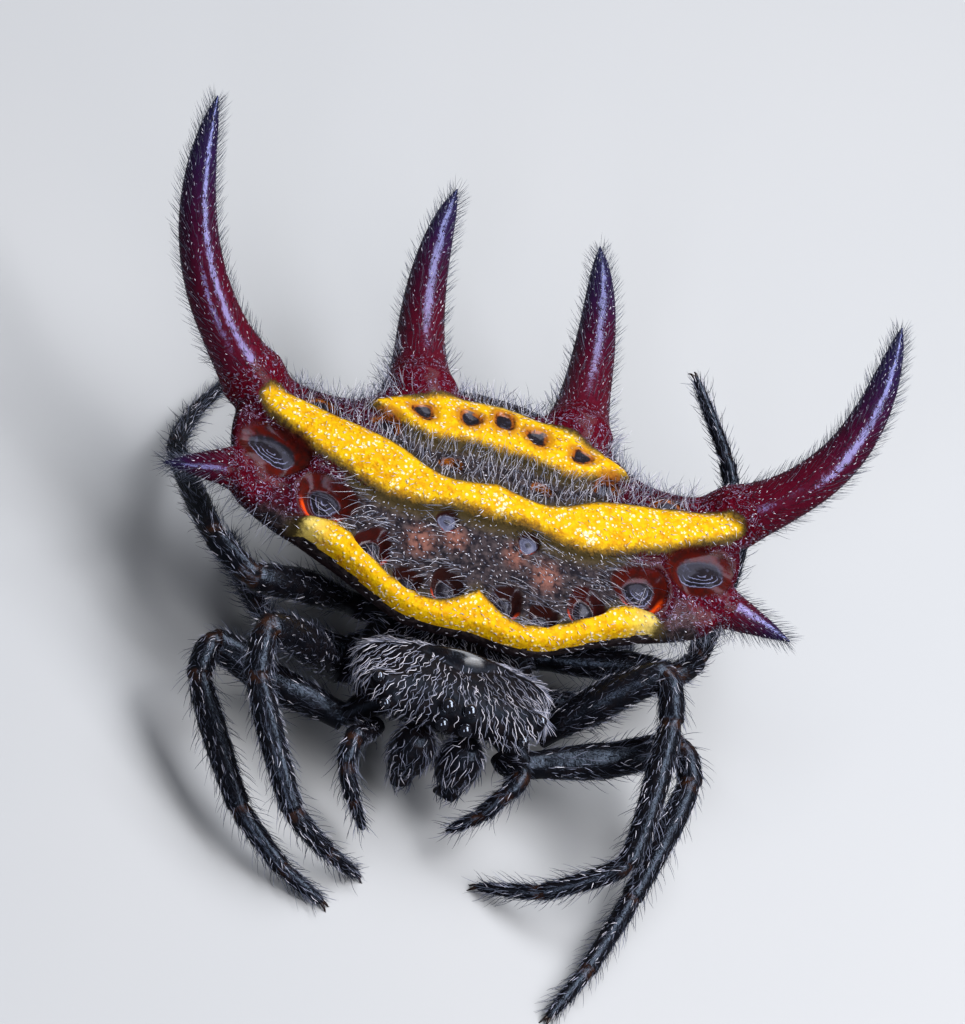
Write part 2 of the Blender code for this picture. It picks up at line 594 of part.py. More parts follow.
for old in list(bpy.data.objects):
    bpy.data.objects.remove(old)
make_abdomen()
make_prosoma()
make_eyes()
make_mouthparts()
for leg in LEGS:
    make_leg(leg)
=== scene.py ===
# %% [markdown]
# # A spiny orb weaver, dressed for a museum case
#
# The frame is a still spider at life size: a wide horned abdomen held over a small black body.
# Its solids give every size. This lesson puts skin, horns, eyes, claws and hair on them, one
# cell at a time. The spider is 17 mm across, so each piece is made on a bench where a metre
# stands for a millimetre, and is brought to its real size at the end. Blender's tools suit
# things of that scale, and the numbers below read as millimetres.

# %% Load the frame
import math

import bpy
import numpy as np
from mathutils import Matrix, Vector


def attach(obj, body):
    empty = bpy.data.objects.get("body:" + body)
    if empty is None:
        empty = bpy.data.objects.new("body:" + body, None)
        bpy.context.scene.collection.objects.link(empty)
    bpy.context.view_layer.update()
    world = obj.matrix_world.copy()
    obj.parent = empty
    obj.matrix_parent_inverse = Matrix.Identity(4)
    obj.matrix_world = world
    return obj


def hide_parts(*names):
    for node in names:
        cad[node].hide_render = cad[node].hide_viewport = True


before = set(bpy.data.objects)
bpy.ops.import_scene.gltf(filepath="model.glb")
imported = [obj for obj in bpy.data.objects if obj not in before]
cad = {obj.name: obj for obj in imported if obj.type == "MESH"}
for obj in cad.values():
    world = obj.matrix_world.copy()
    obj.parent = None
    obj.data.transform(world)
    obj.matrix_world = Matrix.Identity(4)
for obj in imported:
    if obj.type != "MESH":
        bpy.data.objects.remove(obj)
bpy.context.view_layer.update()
MM = 0.001
MIDDLE = np.array([0.0, -1.40, 0.0])    # the frame's origin, from the spider's own, in mm

# %% [markdown]
# ## Camera
#
# The photograph looks down on the spider's face from a little to its right, with the camera
# rolled. The camera's place follows from three angles, a distance and the point in the middle
# of the picture. A long lens keeps the perspective as flat as a close-up lens does.

# %% Camera
PHOTO_SIZE = (965, 1024)
VIEW_TURN = math.radians(-15.2)
VIEW_RISE = math.radians(45.0)
VIEW_ROLL = math.radians(26.9)
VIEW_DISTANCE = 120.0                   # from the target, in mm
VIEW_SCALE = 46.0                       # pixels of the photograph to a millimetre at the target
VIEW_TARGET = np.array([-0.4316, -1.6765, 5.1501])      # in the spider's own frame, in mm
SENSOR = 36.0
NEAREST_SEEN = 0.005                    # in metres
FURTHEST_SEEN = 10.0

back = np.array([math.sin(VIEW_TURN) * math.cos(VIEW_RISE),
                 -math.cos(VIEW_TURN) * math.cos(VIEW_RISE), math.sin(VIEW_RISE)])
level = np.array([math.cos(VIEW_TURN), math.sin(VIEW_TURN), 0.0])
upward = np.cross(back, level)
right = level * math.cos(VIEW_ROLL) + upward * math.sin(VIEW_ROLL)
up = upward * math.cos(VIEW_ROLL) - level * math.sin(VIEW_ROLL)
place = (VIEW_TARGET - MIDDLE + back * VIEW_DISTANCE) * MM
bpy.ops.object.camera_add()
camera = bpy.context.object
camera.name = "photo_camera"
turn = Matrix((right, up, back)).transposed()
camera.matrix_world = Matrix.Translation(place) @ turn.to_4x4()
camera.data.sensor_width = SENSOR
camera.data.lens = VIEW_SCALE * VIEW_DISTANCE * SENSOR / max(PHOTO_SIZE)
camera.data.clip_start = NEAREST_SEEN
camera.data.clip_end = FURTHEST_SEEN
bpy.context.scene.camera = camera
print("The camera is", round(VIEW_DISTANCE), "mm away with a lens of",
      round(camera.data.lens), "mm")

# %% [markdown]
# ## Lamps
#
# A glossy horn shows a lamp as one long streak, so the key light is a tall panel on the right,
# wide enough for a soft streak. A second tall panel higher up lights the rear spines, and a weak
# one close to the camera opens the shadows in front. A lamp's place is given as the photographer
# sees it: to the right, up and back towards the camera. The standard view shows each finish in
# the colour that its numbers say.

# %% Lamps
# Place and size in mm, power in watts and colour
LAMPS = {
    "key_panel": dict(at=(68, 16, 62), size=(42, 96), watts=0.130, colour=(0.97, 0.97, 1.0)),
    "rear_panel": dict(at=(50, 74, 26), size=(42, 84), watts=0.090, colour=(0.93, 0.95, 1.0)),
    "front_panel": dict(at=(-14, -20, 90), size=(18, 54), watts=0.026, colour=(0.86, 0.89, 1.0))}

bpy.context.scene.view_settings.view_transform = "Standard"
for lamp_name, lamp in LAMPS.items():
    to_right, to_top, to_back = lamp["at"]
    away = right * to_right + up * to_top + back * to_back
    facing = away / np.linalg.norm(away)
    flank = np.cross(up, facing)
    flank /= np.linalg.norm(flank)
    bpy.ops.object.light_add(type="AREA")
    panel = bpy.context.object
    panel.name = lamp_name
    turn = Matrix((flank, np.cross(facing, flank), facing)).transposed()
    panel.matrix_world = Matrix.Translation((VIEW_TARGET - MIDDLE + away) * MM) @ turn.to_4x4()
    panel.data.shape = "RECTANGLE"
    panel.data.size = lamp["size"][0] * MM
    panel.data.size_y = lamp["size"][1] * MM
    panel.data.energy = lamp["watts"]
    panel.data.color = lamp["colour"]
print("Lamps:", ", ".join(LAMPS))

# %% [markdown]
# ## World and floor
#
# A dim pale world fills what the lamps leave dark. The floor is plain and pale, and it doesn't
# show in reflections, because a bright board would veil the dark horns from below.

# %% World and floor
FLOOR_SIZE = 0.9                        # in metres
WORLD_COLOUR = (0.84, 0.90, 1.0)
WORLD_STRENGTH = 0.085

world = bpy.data.worlds.new("studio")
bpy.context.scene.world = world
world.use_nodes = True
sky = world.node_tree.nodes["Background"]
sky.inputs["Color"].default_value = (*WORLD_COLOUR, 1)
sky.inputs["Strength"].default_value = WORLD_STRENGTH
bpy.ops.mesh.primitive_plane_add(size=FLOOR_SIZE, location=(0, 0, 0))
floor = bpy.context.object
floor.name = "floor"
floor.visible_glossy = False            # the horns mirror a dark room, not the pale board
print("The world and a floor of", FLOOR_SIZE, "m")

# %% [markdown]
# ## Sums in a material
#
# A finish is mostly arithmetic on masks: this much of one colour here, less of it there. The
# class below wraps a value of a material, so that the sums can be written as sums. Each sum adds
# the Math node that works it out.


# %% Sums in a material
class Signal:
    """One value inside a material, which arithmetic turns into Math nodes."""

    def __init__(self, look, socket):
        self.look = look
        self.socket = socket

    def maths(self, operation, first, second=None, clamp=False):
        values = {0: first} if second is None else {0: first, 1: second}
        settings = {"operation": operation, "use_clamp": clamp}
        return self.look.node("Math", settings, values)

    def __add__(self, other):
        return self.maths("ADD", self, other)

    __radd__ = __add__

    def __mul__(self, other):
        return self.maths("MULTIPLY", self, other)

    __rmul__ = __mul__

    def __sub__(self, other):
        return self.maths("SUBTRACT", self, other)

    def __rsub__(self, other):
        return self.maths("SUBTRACT", other, self)

    def __pow__(self, other):
        return self.maths("POWER", self, other)

    def limited(self):
        """The value kept between 0 and 1."""
        return self.maths("ADD", self, 0.0, clamp=True)

    def larger(self, other):
        """The larger of two values."""
        return self.maths("MAXIMUM", self, other)

    def wave(self):
        """The sine of the value."""
        return self.maths("SINE", self)

    def fade(self, low, high):
        """0 below low, 1 above high and a soft step between."""
        values = {"Value": self, "From Min": low, "From Max": high}
        return self.look.node("MapRange", {"interpolation_type": "SMOOTHSTEP"}, values)


print("Sums in a material are ready")

# %% [markdown]
# ## A material being made
#
# Every node but the sums comes from one method, which sets first what the node is and then its
# sockets. Short methods on top of it name what a finish is made of: noise, cells, a number that
# the mesh carries, a blend of two colours, a scale of colours, and relief that tilts the light.


# %% A material being made
class Look:
    """A material being made. Its coordinates are the spider's own, in millimetres."""

    def __init__(self, name):
        self.material = bpy.data.materials.new(name)
        self.material.use_nodes = True
        self.tree = self.material.node_tree
        self.shader = self.tree.nodes["Principled BSDF"]
        place = self.node("TexCoord", {}, {}, "Object")
        self.mm = self.node("Mapping", {}, {"Vector": place, "Location": tuple(MIDDLE),
                                            "Scale": (1 / MM, 1 / MM, 1 / MM)})

    def node(self, kind, settings, values, output=0):
        """Add any node: first what it is, then its sockets. Returns one output."""
        made = self.tree.nodes.new("ShaderNode" + kind)
        for key, value in settings.items():
            if key == "stops":
                ramp = made.color_ramp
                while len(ramp.elements) < len(value):
                    ramp.elements.new(1.0)
                for element, (at, colour) in zip(ramp.elements, value):
                    element.position = at
                    element.color = (*colour, 1)
            else:
                setattr(made, key, value)
        for key, value in values.items():
            self.feed(made.inputs[key], value)
        return Signal(self, made.outputs[output])

    def feed(self, socket, value):
        """Link a signal to a socket, or set the socket to a plain value."""
        if isinstance(value, Signal):
            self.tree.links.new(value.socket, socket)
        elif isinstance(value, tuple) and socket.type == "RGBA":
            socket.default_value = (*value, 1)
        else:
            socket.default_value = value

    def attribute(self, name):
        """A number that the mesh carries at each point."""
        return self.node("Attribute", {"attribute_name": name}, {}, "Fac")

    def axis(self, name):
        """One of the coordinates, in millimetres."""
        return self.node("SeparateXYZ", {}, {0: self.mm}, name)

    def noise(self, scale, detail=2.0, rough=0.5):
        """Soft noise from 0 to 1, with `scale` lumps to a millimetre."""
        values = {"Vector": self.mm, "Scale": scale, "Detail": detail, "Roughness": rough}
        return self.node("TexNoise", {}, values, "Fac")

    def cells(self, scale):
        """Distance to the middle of the nearest of many cells, `scale` to a millimetre."""
        return self.node("TexVoronoi", {}, {"Vector": self.mm, "Scale": scale}, "Distance")

    def blend(self, factor, first, second):
        """One colour where the factor is 0 and the other where it is 1."""
        values = {"Factor": factor, 6: first, 7: second}
        return self.node("Mix", {"data_type": "RGBA"}, values, 2)

    def ramp(self, value, stops):
        """Colours read off a scale by a value."""
        return self.node("ValToRGB", {"stops": stops}, {"Fac": value}, "Color")

    def relief(self, height, depth, under=None):
        """Raise the surface by a height of 0 to 1 times a depth in mm, on the relief `under`."""
        values = {"Height": height, "Distance": depth * MM}
        if under is not None:
            values["Normal"] = under
        return self.node("Bump", {}, values, "Normal")

    def finish(self, **sockets):
        """Feed the shader's sockets, whose names have _ for a space."""
        for name, value in sockets.items():
            self.feed(self.shader.inputs[name.replace("_", " ")], value)
        return self.material


print("Materials can be made")

# %% [markdown]
# ## Bench tools
#
# These few helpers are used for every piece: pick one object, bring a copy of a solid to the
# bench, apply a modifier, read or move the points of a mesh, and let the points carry a number
# that its material can read.

# %% Bench tools
MERGE_DISTANCE = 0.0005                 # points of a solid closer than this are one, in mm


def alone(obj):
    """Select one object and nothing else."""
    bpy.ops.object.select_all(action="DESELECT")
    obj.select_set(True)
    bpy.context.view_layer.objects.active = obj


def on_bench(name, title):
    """A merged copy of a solid at bench size, with its place in the spider's own frame."""
    obj = bpy.data.objects.new(title, cad[name].data.copy())
    bpy.context.scene.collection.objects.link(obj)
    obj.data.transform(Matrix.Translation(MIDDLE) @ Matrix.Scale(1 / MM, 4))
    alone(obj)
    bpy.ops.mesh.customdata_custom_splitnormals_clear()
    bpy.ops.object.mode_set(mode="EDIT")
    bpy.ops.mesh.select_all(action="SELECT")
    bpy.ops.mesh.remove_doubles(threshold=MERGE_DISTANCE)
    bpy.ops.object.mode_set(mode="OBJECT")
    return obj


def apply(obj, kind, **settings):
    """Add a modifier, set it and apply it."""
    alone(obj)
    modifier = obj.modifiers.new(kind.lower(), kind)
    for key, value in settings.items():
        setattr(modifier, key, value)
    bpy.ops.object.modifier_apply(modifier=modifier.name)


def points_of(obj):
    """The points of a mesh as an array."""
    values = np.empty(len(obj.data.vertices) * 3)
    obj.data.vertices.foreach_get("co", values)
    return values.reshape(-1, 3)


def set_points(obj, points):
    """Move the points of a mesh to the places in an array."""
    obj.data.vertices.foreach_set("co", np.asarray(points, float).ravel())
    obj.data.update()


def carry(obj, name, values):
    """Let the mesh carry a number at each point, for its material."""
    layer = obj.data.attributes.new(name, "FLOAT", "POINT")
    layer.data.foreach_set("value", np.asarray(values, np.float32))


print("The bench is ready")

# %% [markdown]
# ## Soft steps and lists of sizes
#
# Shapes are written as short lists of sizes, each at a place. A soft step fades one thing into
# another, and a list is read with a curve through its values, so that no corner shows between
# them.


# %% Soft steps and lists of sizes
def smoothstep(low, high, value):
    """0 below low, 1 above high and a soft step between."""
    t = np.clip((value - low) / (high - low), 0, 1)
    return t * t * (3 - 2 * t)


def along(points, where):
    """Values read off a list of (place, value) pairs, eased so that no corner shows."""
    places = np.array([p[0] for p in points], float)
    values = np.array([p[1] for p in points], float)
    slopes = np.gradient(values, places)
    where = np.clip(where, places[0], places[-1])
    k = np.clip(np.searchsorted(places, where) - 1, 0, len(places) - 2)
    span = places[k + 1] - places[k]
    t = (where - places[k]) / span
    return ((2 * t**3 - 3 * t**2 + 1) * values[k] + (t**3 - 2 * t**2 + t) * span * slopes[k]
            + (3 * t**2 - 2 * t**3) * values[k + 1] + (t**3 - t**2) * span * slopes[k + 1])


print("Halfway up a soft step:", smoothstep(0.0, 1.0, 0.5))

# %% [markdown]
# ## Off the bench
#
# A finished piece is brought to its real size and place, which is worked into its mesh. It gets
# its material, rides on the spider's one body, and hides and names the solids that it stands for.

# %% Off the bench
BODY = "root"


def settle(obj, material, replaced=()):
    """Bring a piece from the bench to its place, give it its finish and let it ride."""
    obj.location = Vector(-MIDDLE * MM)
    obj.scale = (MM, MM, MM)
    alone(obj)
    bpy.ops.object.transform_apply(location=True, rotation=True, scale=True)
    obj.data.materials.clear()
    obj.data.materials.append(material)
    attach(obj, BODY)
    if replaced:
        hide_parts(*replaced)
    faces = sum(len(p.vertices) - 2 for p in obj.data.polygons)
    print(f"{obj.name}: {faces} triangles", "for " + ", ".join(replaced) if replaced else "")


print("Every piece rides on the body", BODY)

# %% [markdown]
# ## Rods
#
# Horns, legs, palps and claws are all round in section and taper. Each is a curve with a round
# bevel, whose thickness is set point by point, and which is then turned into a mesh. The same
# line and radii are kept, so that hair can be rooted on the rod without searching for it.


# %% Rods
class Rod:
    """A line of points with a radius at each, and the frame of directions along it."""

    def __init__(self, line, radii):
        self.line = np.array(line, float)
        self.radii = np.array(radii, float)
        self.ways = np.gradient(self.line, axis=0)
        self.ways /= np.linalg.norm(self.ways, axis=1)[:, None]
        steps = np.linalg.norm(np.diff(self.line, axis=0), axis=1)
        self.travel = np.concatenate([[0], np.cumsum(steps)])
        self.length = self.travel[-1]
        self.joints = np.zeros(len(self.line))      # 1 at a soft joint

    def read(self, values, where):
        """Values of the rod's points at distances along it."""
        return np.stack([np.interp(where, self.travel, values[:, k]) for k in range(3)], -1)

    def spots(self, where, angles):
        """Places and outward directions on the rod. Angle 0 is its upper side."""
        way = self.read(self.ways, where)
        way /= np.linalg.norm(way, axis=1)[:, None]
        rise = np.array([0, 0, 1.0]) - way * way[:, 2:3]
        rise /= np.linalg.norm(rise, axis=1)[:, None]
        flank = np.cross(way, rise)
        out = rise * np.cos(angles)[:, None] + flank * np.sin(angles)[:, None]
        radius = np.interp(where, self.travel, self.radii)
        return self.read(self.line, where) + out * radius[:, None], out, way

    def mesh(self, name, sides):
        """The rod as a closed mesh whose points carry their place along it, 0 to 1."""
        bpy.ops.object.select_all(action="DESELECT")
        bpy.ops.curve.primitive_nurbs_path_add()
        obj = bpy.context.object
        obj.name = name
        curve = obj.data
        curve.splines.clear()
        spline = curve.splines.new("POLY")
        spline.points.add(len(self.line) - 1)
        spline.points.foreach_set("co", np.c_[self.line, np.ones(len(self.line))].ravel())
        spline.points.foreach_set("radius", self.radii)
        curve.dimensions = "3D"
        curve.twist_mode = "MINIMUM"
        curve.bevel_depth = 1.0
        curve.bevel_resolution = (sides - 4) // 2
        curve.use_fill_caps = True
        bpy.ops.object.convert(target="MESH")
        obj = bpy.context.object
        bpy.ops.object.shade_smooth()
        points = points_of(obj)
        gaps = np.linalg.norm(points[:, None, :] - self.line[None, ::2, :], axis=2)
        nearest = np.argmin(gaps, axis=1) * 2
        carry(obj, "along", self.travel[nearest] / self.length)
        carry(obj, "joint", self.joints[nearest])
        return obj


print("Rods are ready")

# %% [markdown]
# ## Smooth lines
#
# A leg is given by the places of its joints. A curve through them leaves each one in the
# direction from the joint before it to the joint after it, and is then cut into short even steps.


# %% Smooth lines
def smooth_line(points, step):
    """A smooth line through some points, and each place on it counted in points."""
    p = [np.array(q, float) for q in points]
    p = [2 * p[0] - p[1]] + p + [2 * p[-1] - p[-2]]
    line = []
    places = []
    for k in range(1, len(p) - 2):
        a, b, c, d = p[k - 1:k + 3]
        count = max(2, round(float(np.linalg.norm(c - b)) / step))
        lean = 0.5 * np.linalg.norm(c - b)
        start = lean * (c - a) / np.linalg.norm(c - a)
        end = lean * (d - b) / np.linalg.norm(d - b)
        for i in range(count + (k == len(p) - 3)):
            t = i / count
            line.append((2 * t**3 - 3 * t**2 + 1) * b + (t**3 - 2 * t**2 + t) * start
                        + (3 * t**2 - 2 * t**3) * c + (t**3 - t**2) * end)
            places.append(k - 1 + t)
    return np.array(line), np.array(places)


print("Smooth lines are ready")

# %% [markdown]
# ## The floor's finish
#
# A plain painted board: almost white, with a faint unevenness that keeps it from looking like
# empty paper.

# %% Floor finish
BOARD_GREY = (0.38, 0.39, 0.40)
BOARD_PALE = (0.42, 0.42, 0.42)
BOARD_ROUGHNESS = 0.75
board = Look("pale_board")
clouds = board.noise(0.05, 3)
board.finish(Base_Color=board.blend(clouds, BOARD_GREY, BOARD_PALE),
             Roughness=BOARD_ROUGHNESS + clouds * 0.1)
floor.data.materials.append(board.material)
print("The floor's finish is", board.material.name)

# %% [markdown]
# ## The shell's ridges
#
# The abdomen's upper face is a hard shell that three yellow ridges cross. Their edges are the
# same as in the solids, each a list of places along Y at distances from the middle line. Here
# they also colour the shell, so a ridge is written in two ways: as its rise, and as the distance
# that a point is inside its yellow band, which is rounded at both ends.

# %% The shell's ridges
FRONT_EDGE = [(0, -3.52), (1.0, -3.60), (1.6, -3.52), (2.1, -3.28), (2.9, -2.84),
              (4.1, -2.30), (5.2, -1.85), (5.9, -1.40)]
REAR_EDGE = [(0, 2.85), (1.0, 2.82), (1.85, 2.74), (2.6, 2.16), (3.15, 1.62),
             (3.8, 1.42), (4.5, 1.52), (5.2, 1.78), (5.9, 1.86)]
MAIN_BAND_FRONT = [(0, -1.10), (0.6, -1.06), (1.75, -1.20), (2.4, -1.15), (3.0, -0.96),
                   (3.5, -0.72), (4.1, -0.50), (4.9, -0.02), (5.5, 0.30), (6.05, 0.52)]
MAIN_BAND_REAR = [(0, -0.14), (0.6, -0.27), (1.1, -0.31), (1.65, -0.15), (2.35, 0.24),
                  (3.1, 0.50), (3.9, 0.70), (4.6, 0.90), (5.3, 0.96), (6.05, 0.66)]
FRONT_BAND_REAR = [(0, -2.68), (0.25, -2.87), (0.6, -3.08), (1.1, -3.17), (1.5, -3.10),
                   (1.9, -2.95), (2.5, -2.60), (3.2, -2.10), (4.2, -2.05)]
REAR_BAND_FRONT = [(0, 0.76), (0.6, 0.80), (1.2, 0.70), (1.6, 0.65), (2.4, 0.95), (3.1, 1.25)]
REAR_BAND_REAR = [(0, 2.42), (1.0, 2.25), (1.6, 2.00), (2.1, 1.80), (2.5, 1.75), (3.1, 1.35)]
MAIN_BAND_TIP = 5.72
MAIN_BAND_LEAN = 0.16                   # the left tip reaches further out than the right one
FRONT_BAND_TIP = 4.2
REAR_BAND_TIP = 3.1
FRONT_BAND_LAP = 0.25                   # the front band runs over the shell's edge this far
RIDGE_FULLNESS = 1.12                   # above 1, a ridge still has some height at its edges
RIDGE_END = (-0.25, 0.1)                # from a band's tip, where its rise fades out
OUTSIDE = -9.0                          # further outside every band than any point is


def ridge(y, front, rear):
    """A rounded ridge between two edges, 1 along its middle."""
    half = np.maximum((rear - front) / 2, 0.05)
    place = (y - (front + rear) / 2) / half
    return np.sqrt(np.clip(RIDGE_FULLNESS - place**2, 0, 1))


def bands(x, y):
    """The rise of the ridges, 0 to 1, and how far a point is inside a yellow band, in mm."""
    side = np.abs(x)
    main = along(MAIN_BAND_FRONT, side), along(MAIN_BAND_REAR, side)
    fore = along(FRONT_EDGE, side) - FRONT_BAND_LAP, along(FRONT_BAND_REAR, side)
    rear = along(REAR_BAND_FRONT, side), along(REAR_BAND_REAR, side)
    rise = ridge(y, *main)
    for edges, tip in ((fore, FRONT_BAND_TIP), (rear, REAR_BAND_TIP)):
        rise = np.maximum(rise, ridge(y, *edges) * (1 - smoothstep(*RIDGE_END, side - tip)))
    main_tip = MAIN_BAND_TIP + MAIN_BAND_LEAN * np.sign(x)
    inside = np.full_like(side, OUTSIDE)
    for (low, high), tip in ((main, main_tip), (fore, FRONT_BAND_TIP), (rear, REAR_BAND_TIP)):
        half = (high - low) / 2
        past_end = np.maximum(side - tip + np.maximum(half, 0.1), 0)
        inside = np.maximum(inside, half - np.hypot(y - (low + high) / 2, past_end))
    return rise, inside


middle_width = MAIN_BAND_REAR[0][1] - MAIN_BAND_FRONT[0][1]
print("The main band is", round(middle_width, 2), "mm wide in the middle")

# %% [markdown]
# ## The shell's pits
#
# Where muscles are fixed inside the shell there are pits, called sigilla, each with a glossy
# plate at the bottom. A pit is a turned ellipse with a slight wobble. A point's distance from it
# is measured in the pit's own size, so that one profile and one set of colours fit them all.

# %% The shell's pits
# Distance from the middle line, place along Y, half lengths across and along, turn in degrees
SIGILLA = [(5.02, -0.58, 0.80, 0.58, 15), (3.66, -1.44, 0.66, 0.54, 20),
           (2.46, -2.28, 0.42, 0.40, 0), (1.57, -2.84, 0.32, 0.30, 0),
           (0.69, -2.72, 0.36, 0.34, 0), (0.94, -1.30, 0.24, 0.22, 0),
           (1.05, 0.14, 0.27, 0.20, 0), (2.58, 0.86, 0.36, 0.22, 20),
           (4.05, 0.98, 0.42, 0.20, 15), (0.0, 1.72, 0.26, 0.28, 0),
           (0.78, 1.51, 0.27, 0.26, 0), (1.86, 1.34, 0.28, 0.22, 25)]
PIT_WOBBLE = 0.09                       # how far a pit's outline is from an ellipse
FAR_OUT = 9.0                           # further from every pit than counts


def pit_reach(x, y):
    """How far out from the nearest pit's middle, and how much its wall there faces forward."""
    side = np.abs(x)
    nearest = np.full_like(side, FAR_OUT)
    facing = np.zeros_like(side)
    for at_x, at_y, long, short, turn in SIGILLA:
        angle = math.radians(turn)
        dx = side - at_x
        dy = y - at_y
        across = (dx * math.cos(angle) + dy * math.sin(angle)) / long
        ahead = (dy * math.cos(angle) - dx * math.sin(angle)) / short
        reach = np.hypot(across, ahead)
        reach = reach * (1 + PIT_WOBBLE * np.cos(3 * np.arctan2(ahead, across) + 9 * at_x))
        facing = np.where(reach < nearest, -ahead / np.maximum(reach, 0.05), facing)
        nearest = np.minimum(nearest, reach)
    return nearest, facing


print(len(SIGILLA), "pits a side")

# %% [markdown]
# ## The shell's relief
#
# The shell is a low crown inside its rim, with swellings where the spines grow. The ridges lie
# on it, and the pits are sunk into it. A pit has a low soft rim, a sloping wall and a flat
# plate. The plates of the pits near the corners are larger and show rings.

# %% The shell's relief
SHELL_SIDE = 5.75
SHELL_BULGE = 0.12
RIM_FRONT_Z = 3.60
RIM_REAR_Z = 4.15
RIM_SLOPE_Y = 3.4                       # the rim rises over this far, to the middle of the shell
CROWN = 0.45
CROWN_REACH = (6.3, 3.45, 3.3)          # to the sides, forward and back
BAND_RISE = 0.30
# Distance from the middle line, place along Y, reach and rise
SWELLINGS = [(5.40, 1.15, 0.95, 0.14), (1.85, 2.40, 0.85, 0.15), (5.45, -0.95, 0.70, 0.05)]
PIT_DEPTH = 0.25
PIT_WALL = (0.50, 1.12)                 # a wall runs from here to here, in the pit's own size
PIT_RIM = 0.035
RIM_RUN = (1.22, 0.16)                  # the rim's middle and half width, in the same size
PIT_PLATE = 0.09
PLATE_EDGE = (0.34, 0.60)
PLATE_GROWTH = 0.3
PIT_RIPPLE = 0.010
PIT_RIPPLES = 5.0
RINGED_PITS = (3.0, 3.2)                # from this far out to the side, the plates show rings
SHALLOW_PIT = (0.94, -1.30)             # a pit whose plate lies almost level with the shell,
SHALLOW_BEHIND = (0.9, 1.2)             # as do those in the rear band
WIDE_PLATES = (4.3, 4.6)                # from this far out, the plates are larger


def rim_height(y):
    """Height of the shell's rim at a place along it."""
    return RIM_FRONT_Z + (RIM_REAR_Z - RIM_FRONT_Z) * np.clip((y + RIM_SLOPE_Y) / RIM_SLOPE_Y, 0, 1)


def shell_base(x, y):
    """Height of the shell without its pits."""
    side = np.abs(x)
    slope = np.minimum(y, 0) / CROWN_REACH[1], np.maximum(y, 0) / CROWN_REACH[2]
    crown = np.clip(1 - (x / CROWN_REACH[0])**2 - slope[0]**2 - slope[1]**2, 0, 1)
    z = rim_height(y) + CROWN * crown
    z = z + BAND_RISE * (bands(x, y)[0] - 0.5)
    for at_x, at_y, reach, rise in SWELLINGS:
        z = z + rise * np.exp(-((side - at_x)**2 + (y - at_y)**2) / reach**2)
    return z


def pit_shape(reach, side, y):
    """The profile of a pit: a low soft rim, a sloping wall and a flat plate, some with rings."""
    shallow = np.exp(-((side - SHALLOW_PIT[0])**2 + (y - SHALLOW_PIT[1])**2) / 0.12)
    shallow = np.maximum(shallow, 0.8 * smoothstep(*SHALLOW_BEHIND, y))
    wide = shallow + 0.6 * smoothstep(*WIDE_PLATES, side)
    bowl = -PIT_DEPTH * (1 - 0.55 * shallow) * (1 - smoothstep(*PIT_WALL, reach))
    rim = PIT_RIM * np.exp(-((reach - RIM_RUN[0]) / RIM_RUN[1])**2)
    growth = PLATE_GROWTH * wide
    plate = PIT_PLATE * (1 - smoothstep(PLATE_EDGE[0] + growth, PLATE_EDGE[1] + growth, reach))
    ripple = PIT_RIPPLE * np.cos(2 * np.pi * PIT_RIPPLES * reach)
    ripple = ripple * (1 - smoothstep(0.5, 0.8, reach))
    return bowl + rim + plate + ripple * smoothstep(*RINGED_PITS, side)


print("The rim is", RIM_FRONT_Z, "mm high in front and", RIM_REAR_Z, "mm behind")

# %% [markdown]
# ## The spines' lines
#
# Six spines grow from the shell: two long horns at its rear corners, two straighter ones behind
# and two short thorns in front. Each follows a smooth four-point curve, and its radii are listed
# at shares of its length. The right one of a pair is the mirror image of the left, apart from a
# small skew of each. At the share called parted, the shell ends and the spine's own piece starts.

# %% Spine lines
SPINES = {
    "horn": dict(
        line=[(5.70, 1.33, 4.15), (7.40, 1.45, 5.80), (8.22, 3.10, 6.10), (8.17, 5.20, 7.95)],
        radius=[(0, 0.74), (0.07, 0.64), (0.16, 0.56), (0.35, 0.50), (0.55, 0.45), (0.72, 0.38),
                (0.86, 0.27), (0.95, 0.14), (1, 0.012)],
        skew=(0.0, -0.20, -0.22), parted=0.10, rings=120),
    "rear_spine": dict(
        line=[(1.85, 2.50, 3.95), (2.08, 4.55, 3.98), (2.18, 6.15, 4.35), (1.79, 7.95, 4.95)],
        radius=[(0, 0.84), (0.1, 0.68), (0.2, 0.59), (0.32, 0.53), (0.46, 0.48), (0.62, 0.41),
                (0.8, 0.30), (0.92, 0.17), (1, 0.012)],
        skew=(0.0, -0.10, -0.13), parted=0.10, rings=100),
    "front_spine": dict(
        line=[(5.50, -0.95, 3.62), (6.10, -1.08, 3.64), (6.65, -1.25, 3.64), (7.25, -1.42, 3.62)],
        radius=[(0, 0.56), (0.25, 0.42), (0.5, 0.30), (0.75, 0.18), (1, 0.012)],
        skew=(0.0, -0.15, 0.15), parted=0.26, rings=50)}
OVERLAP = 0.25                          # shell and spine run together for this far, each way
OVERLAP_DIP = 0.006                     # how far each dives under the other there
SIDES = {"left": 1, "right": -1}


def spine_rod(kind, side, start, end, rings):
    """A stretch of a spine, from one share of its length to another."""
    spine = SPINES[kind]
    p = np.array(spine["line"], float)
    where = np.linspace(start, end, rings)
    t = np.clip(where, 0, 1)[:, None]
    line = (1 - t)**3 * p[0] + 3 * (1 - t)**2 * t * p[1] + 3 * (1 - t) * t**2 * p[2] + t**3 * p[3]
    line = line + np.minimum(where, 0)[:, None] * 3 * (p[1] - p[0])
    line = line + t**2 * np.array(spine["skew"]) * side
    return Rod(line * np.array([side, 1, 1]), along(spine["radius"], where))


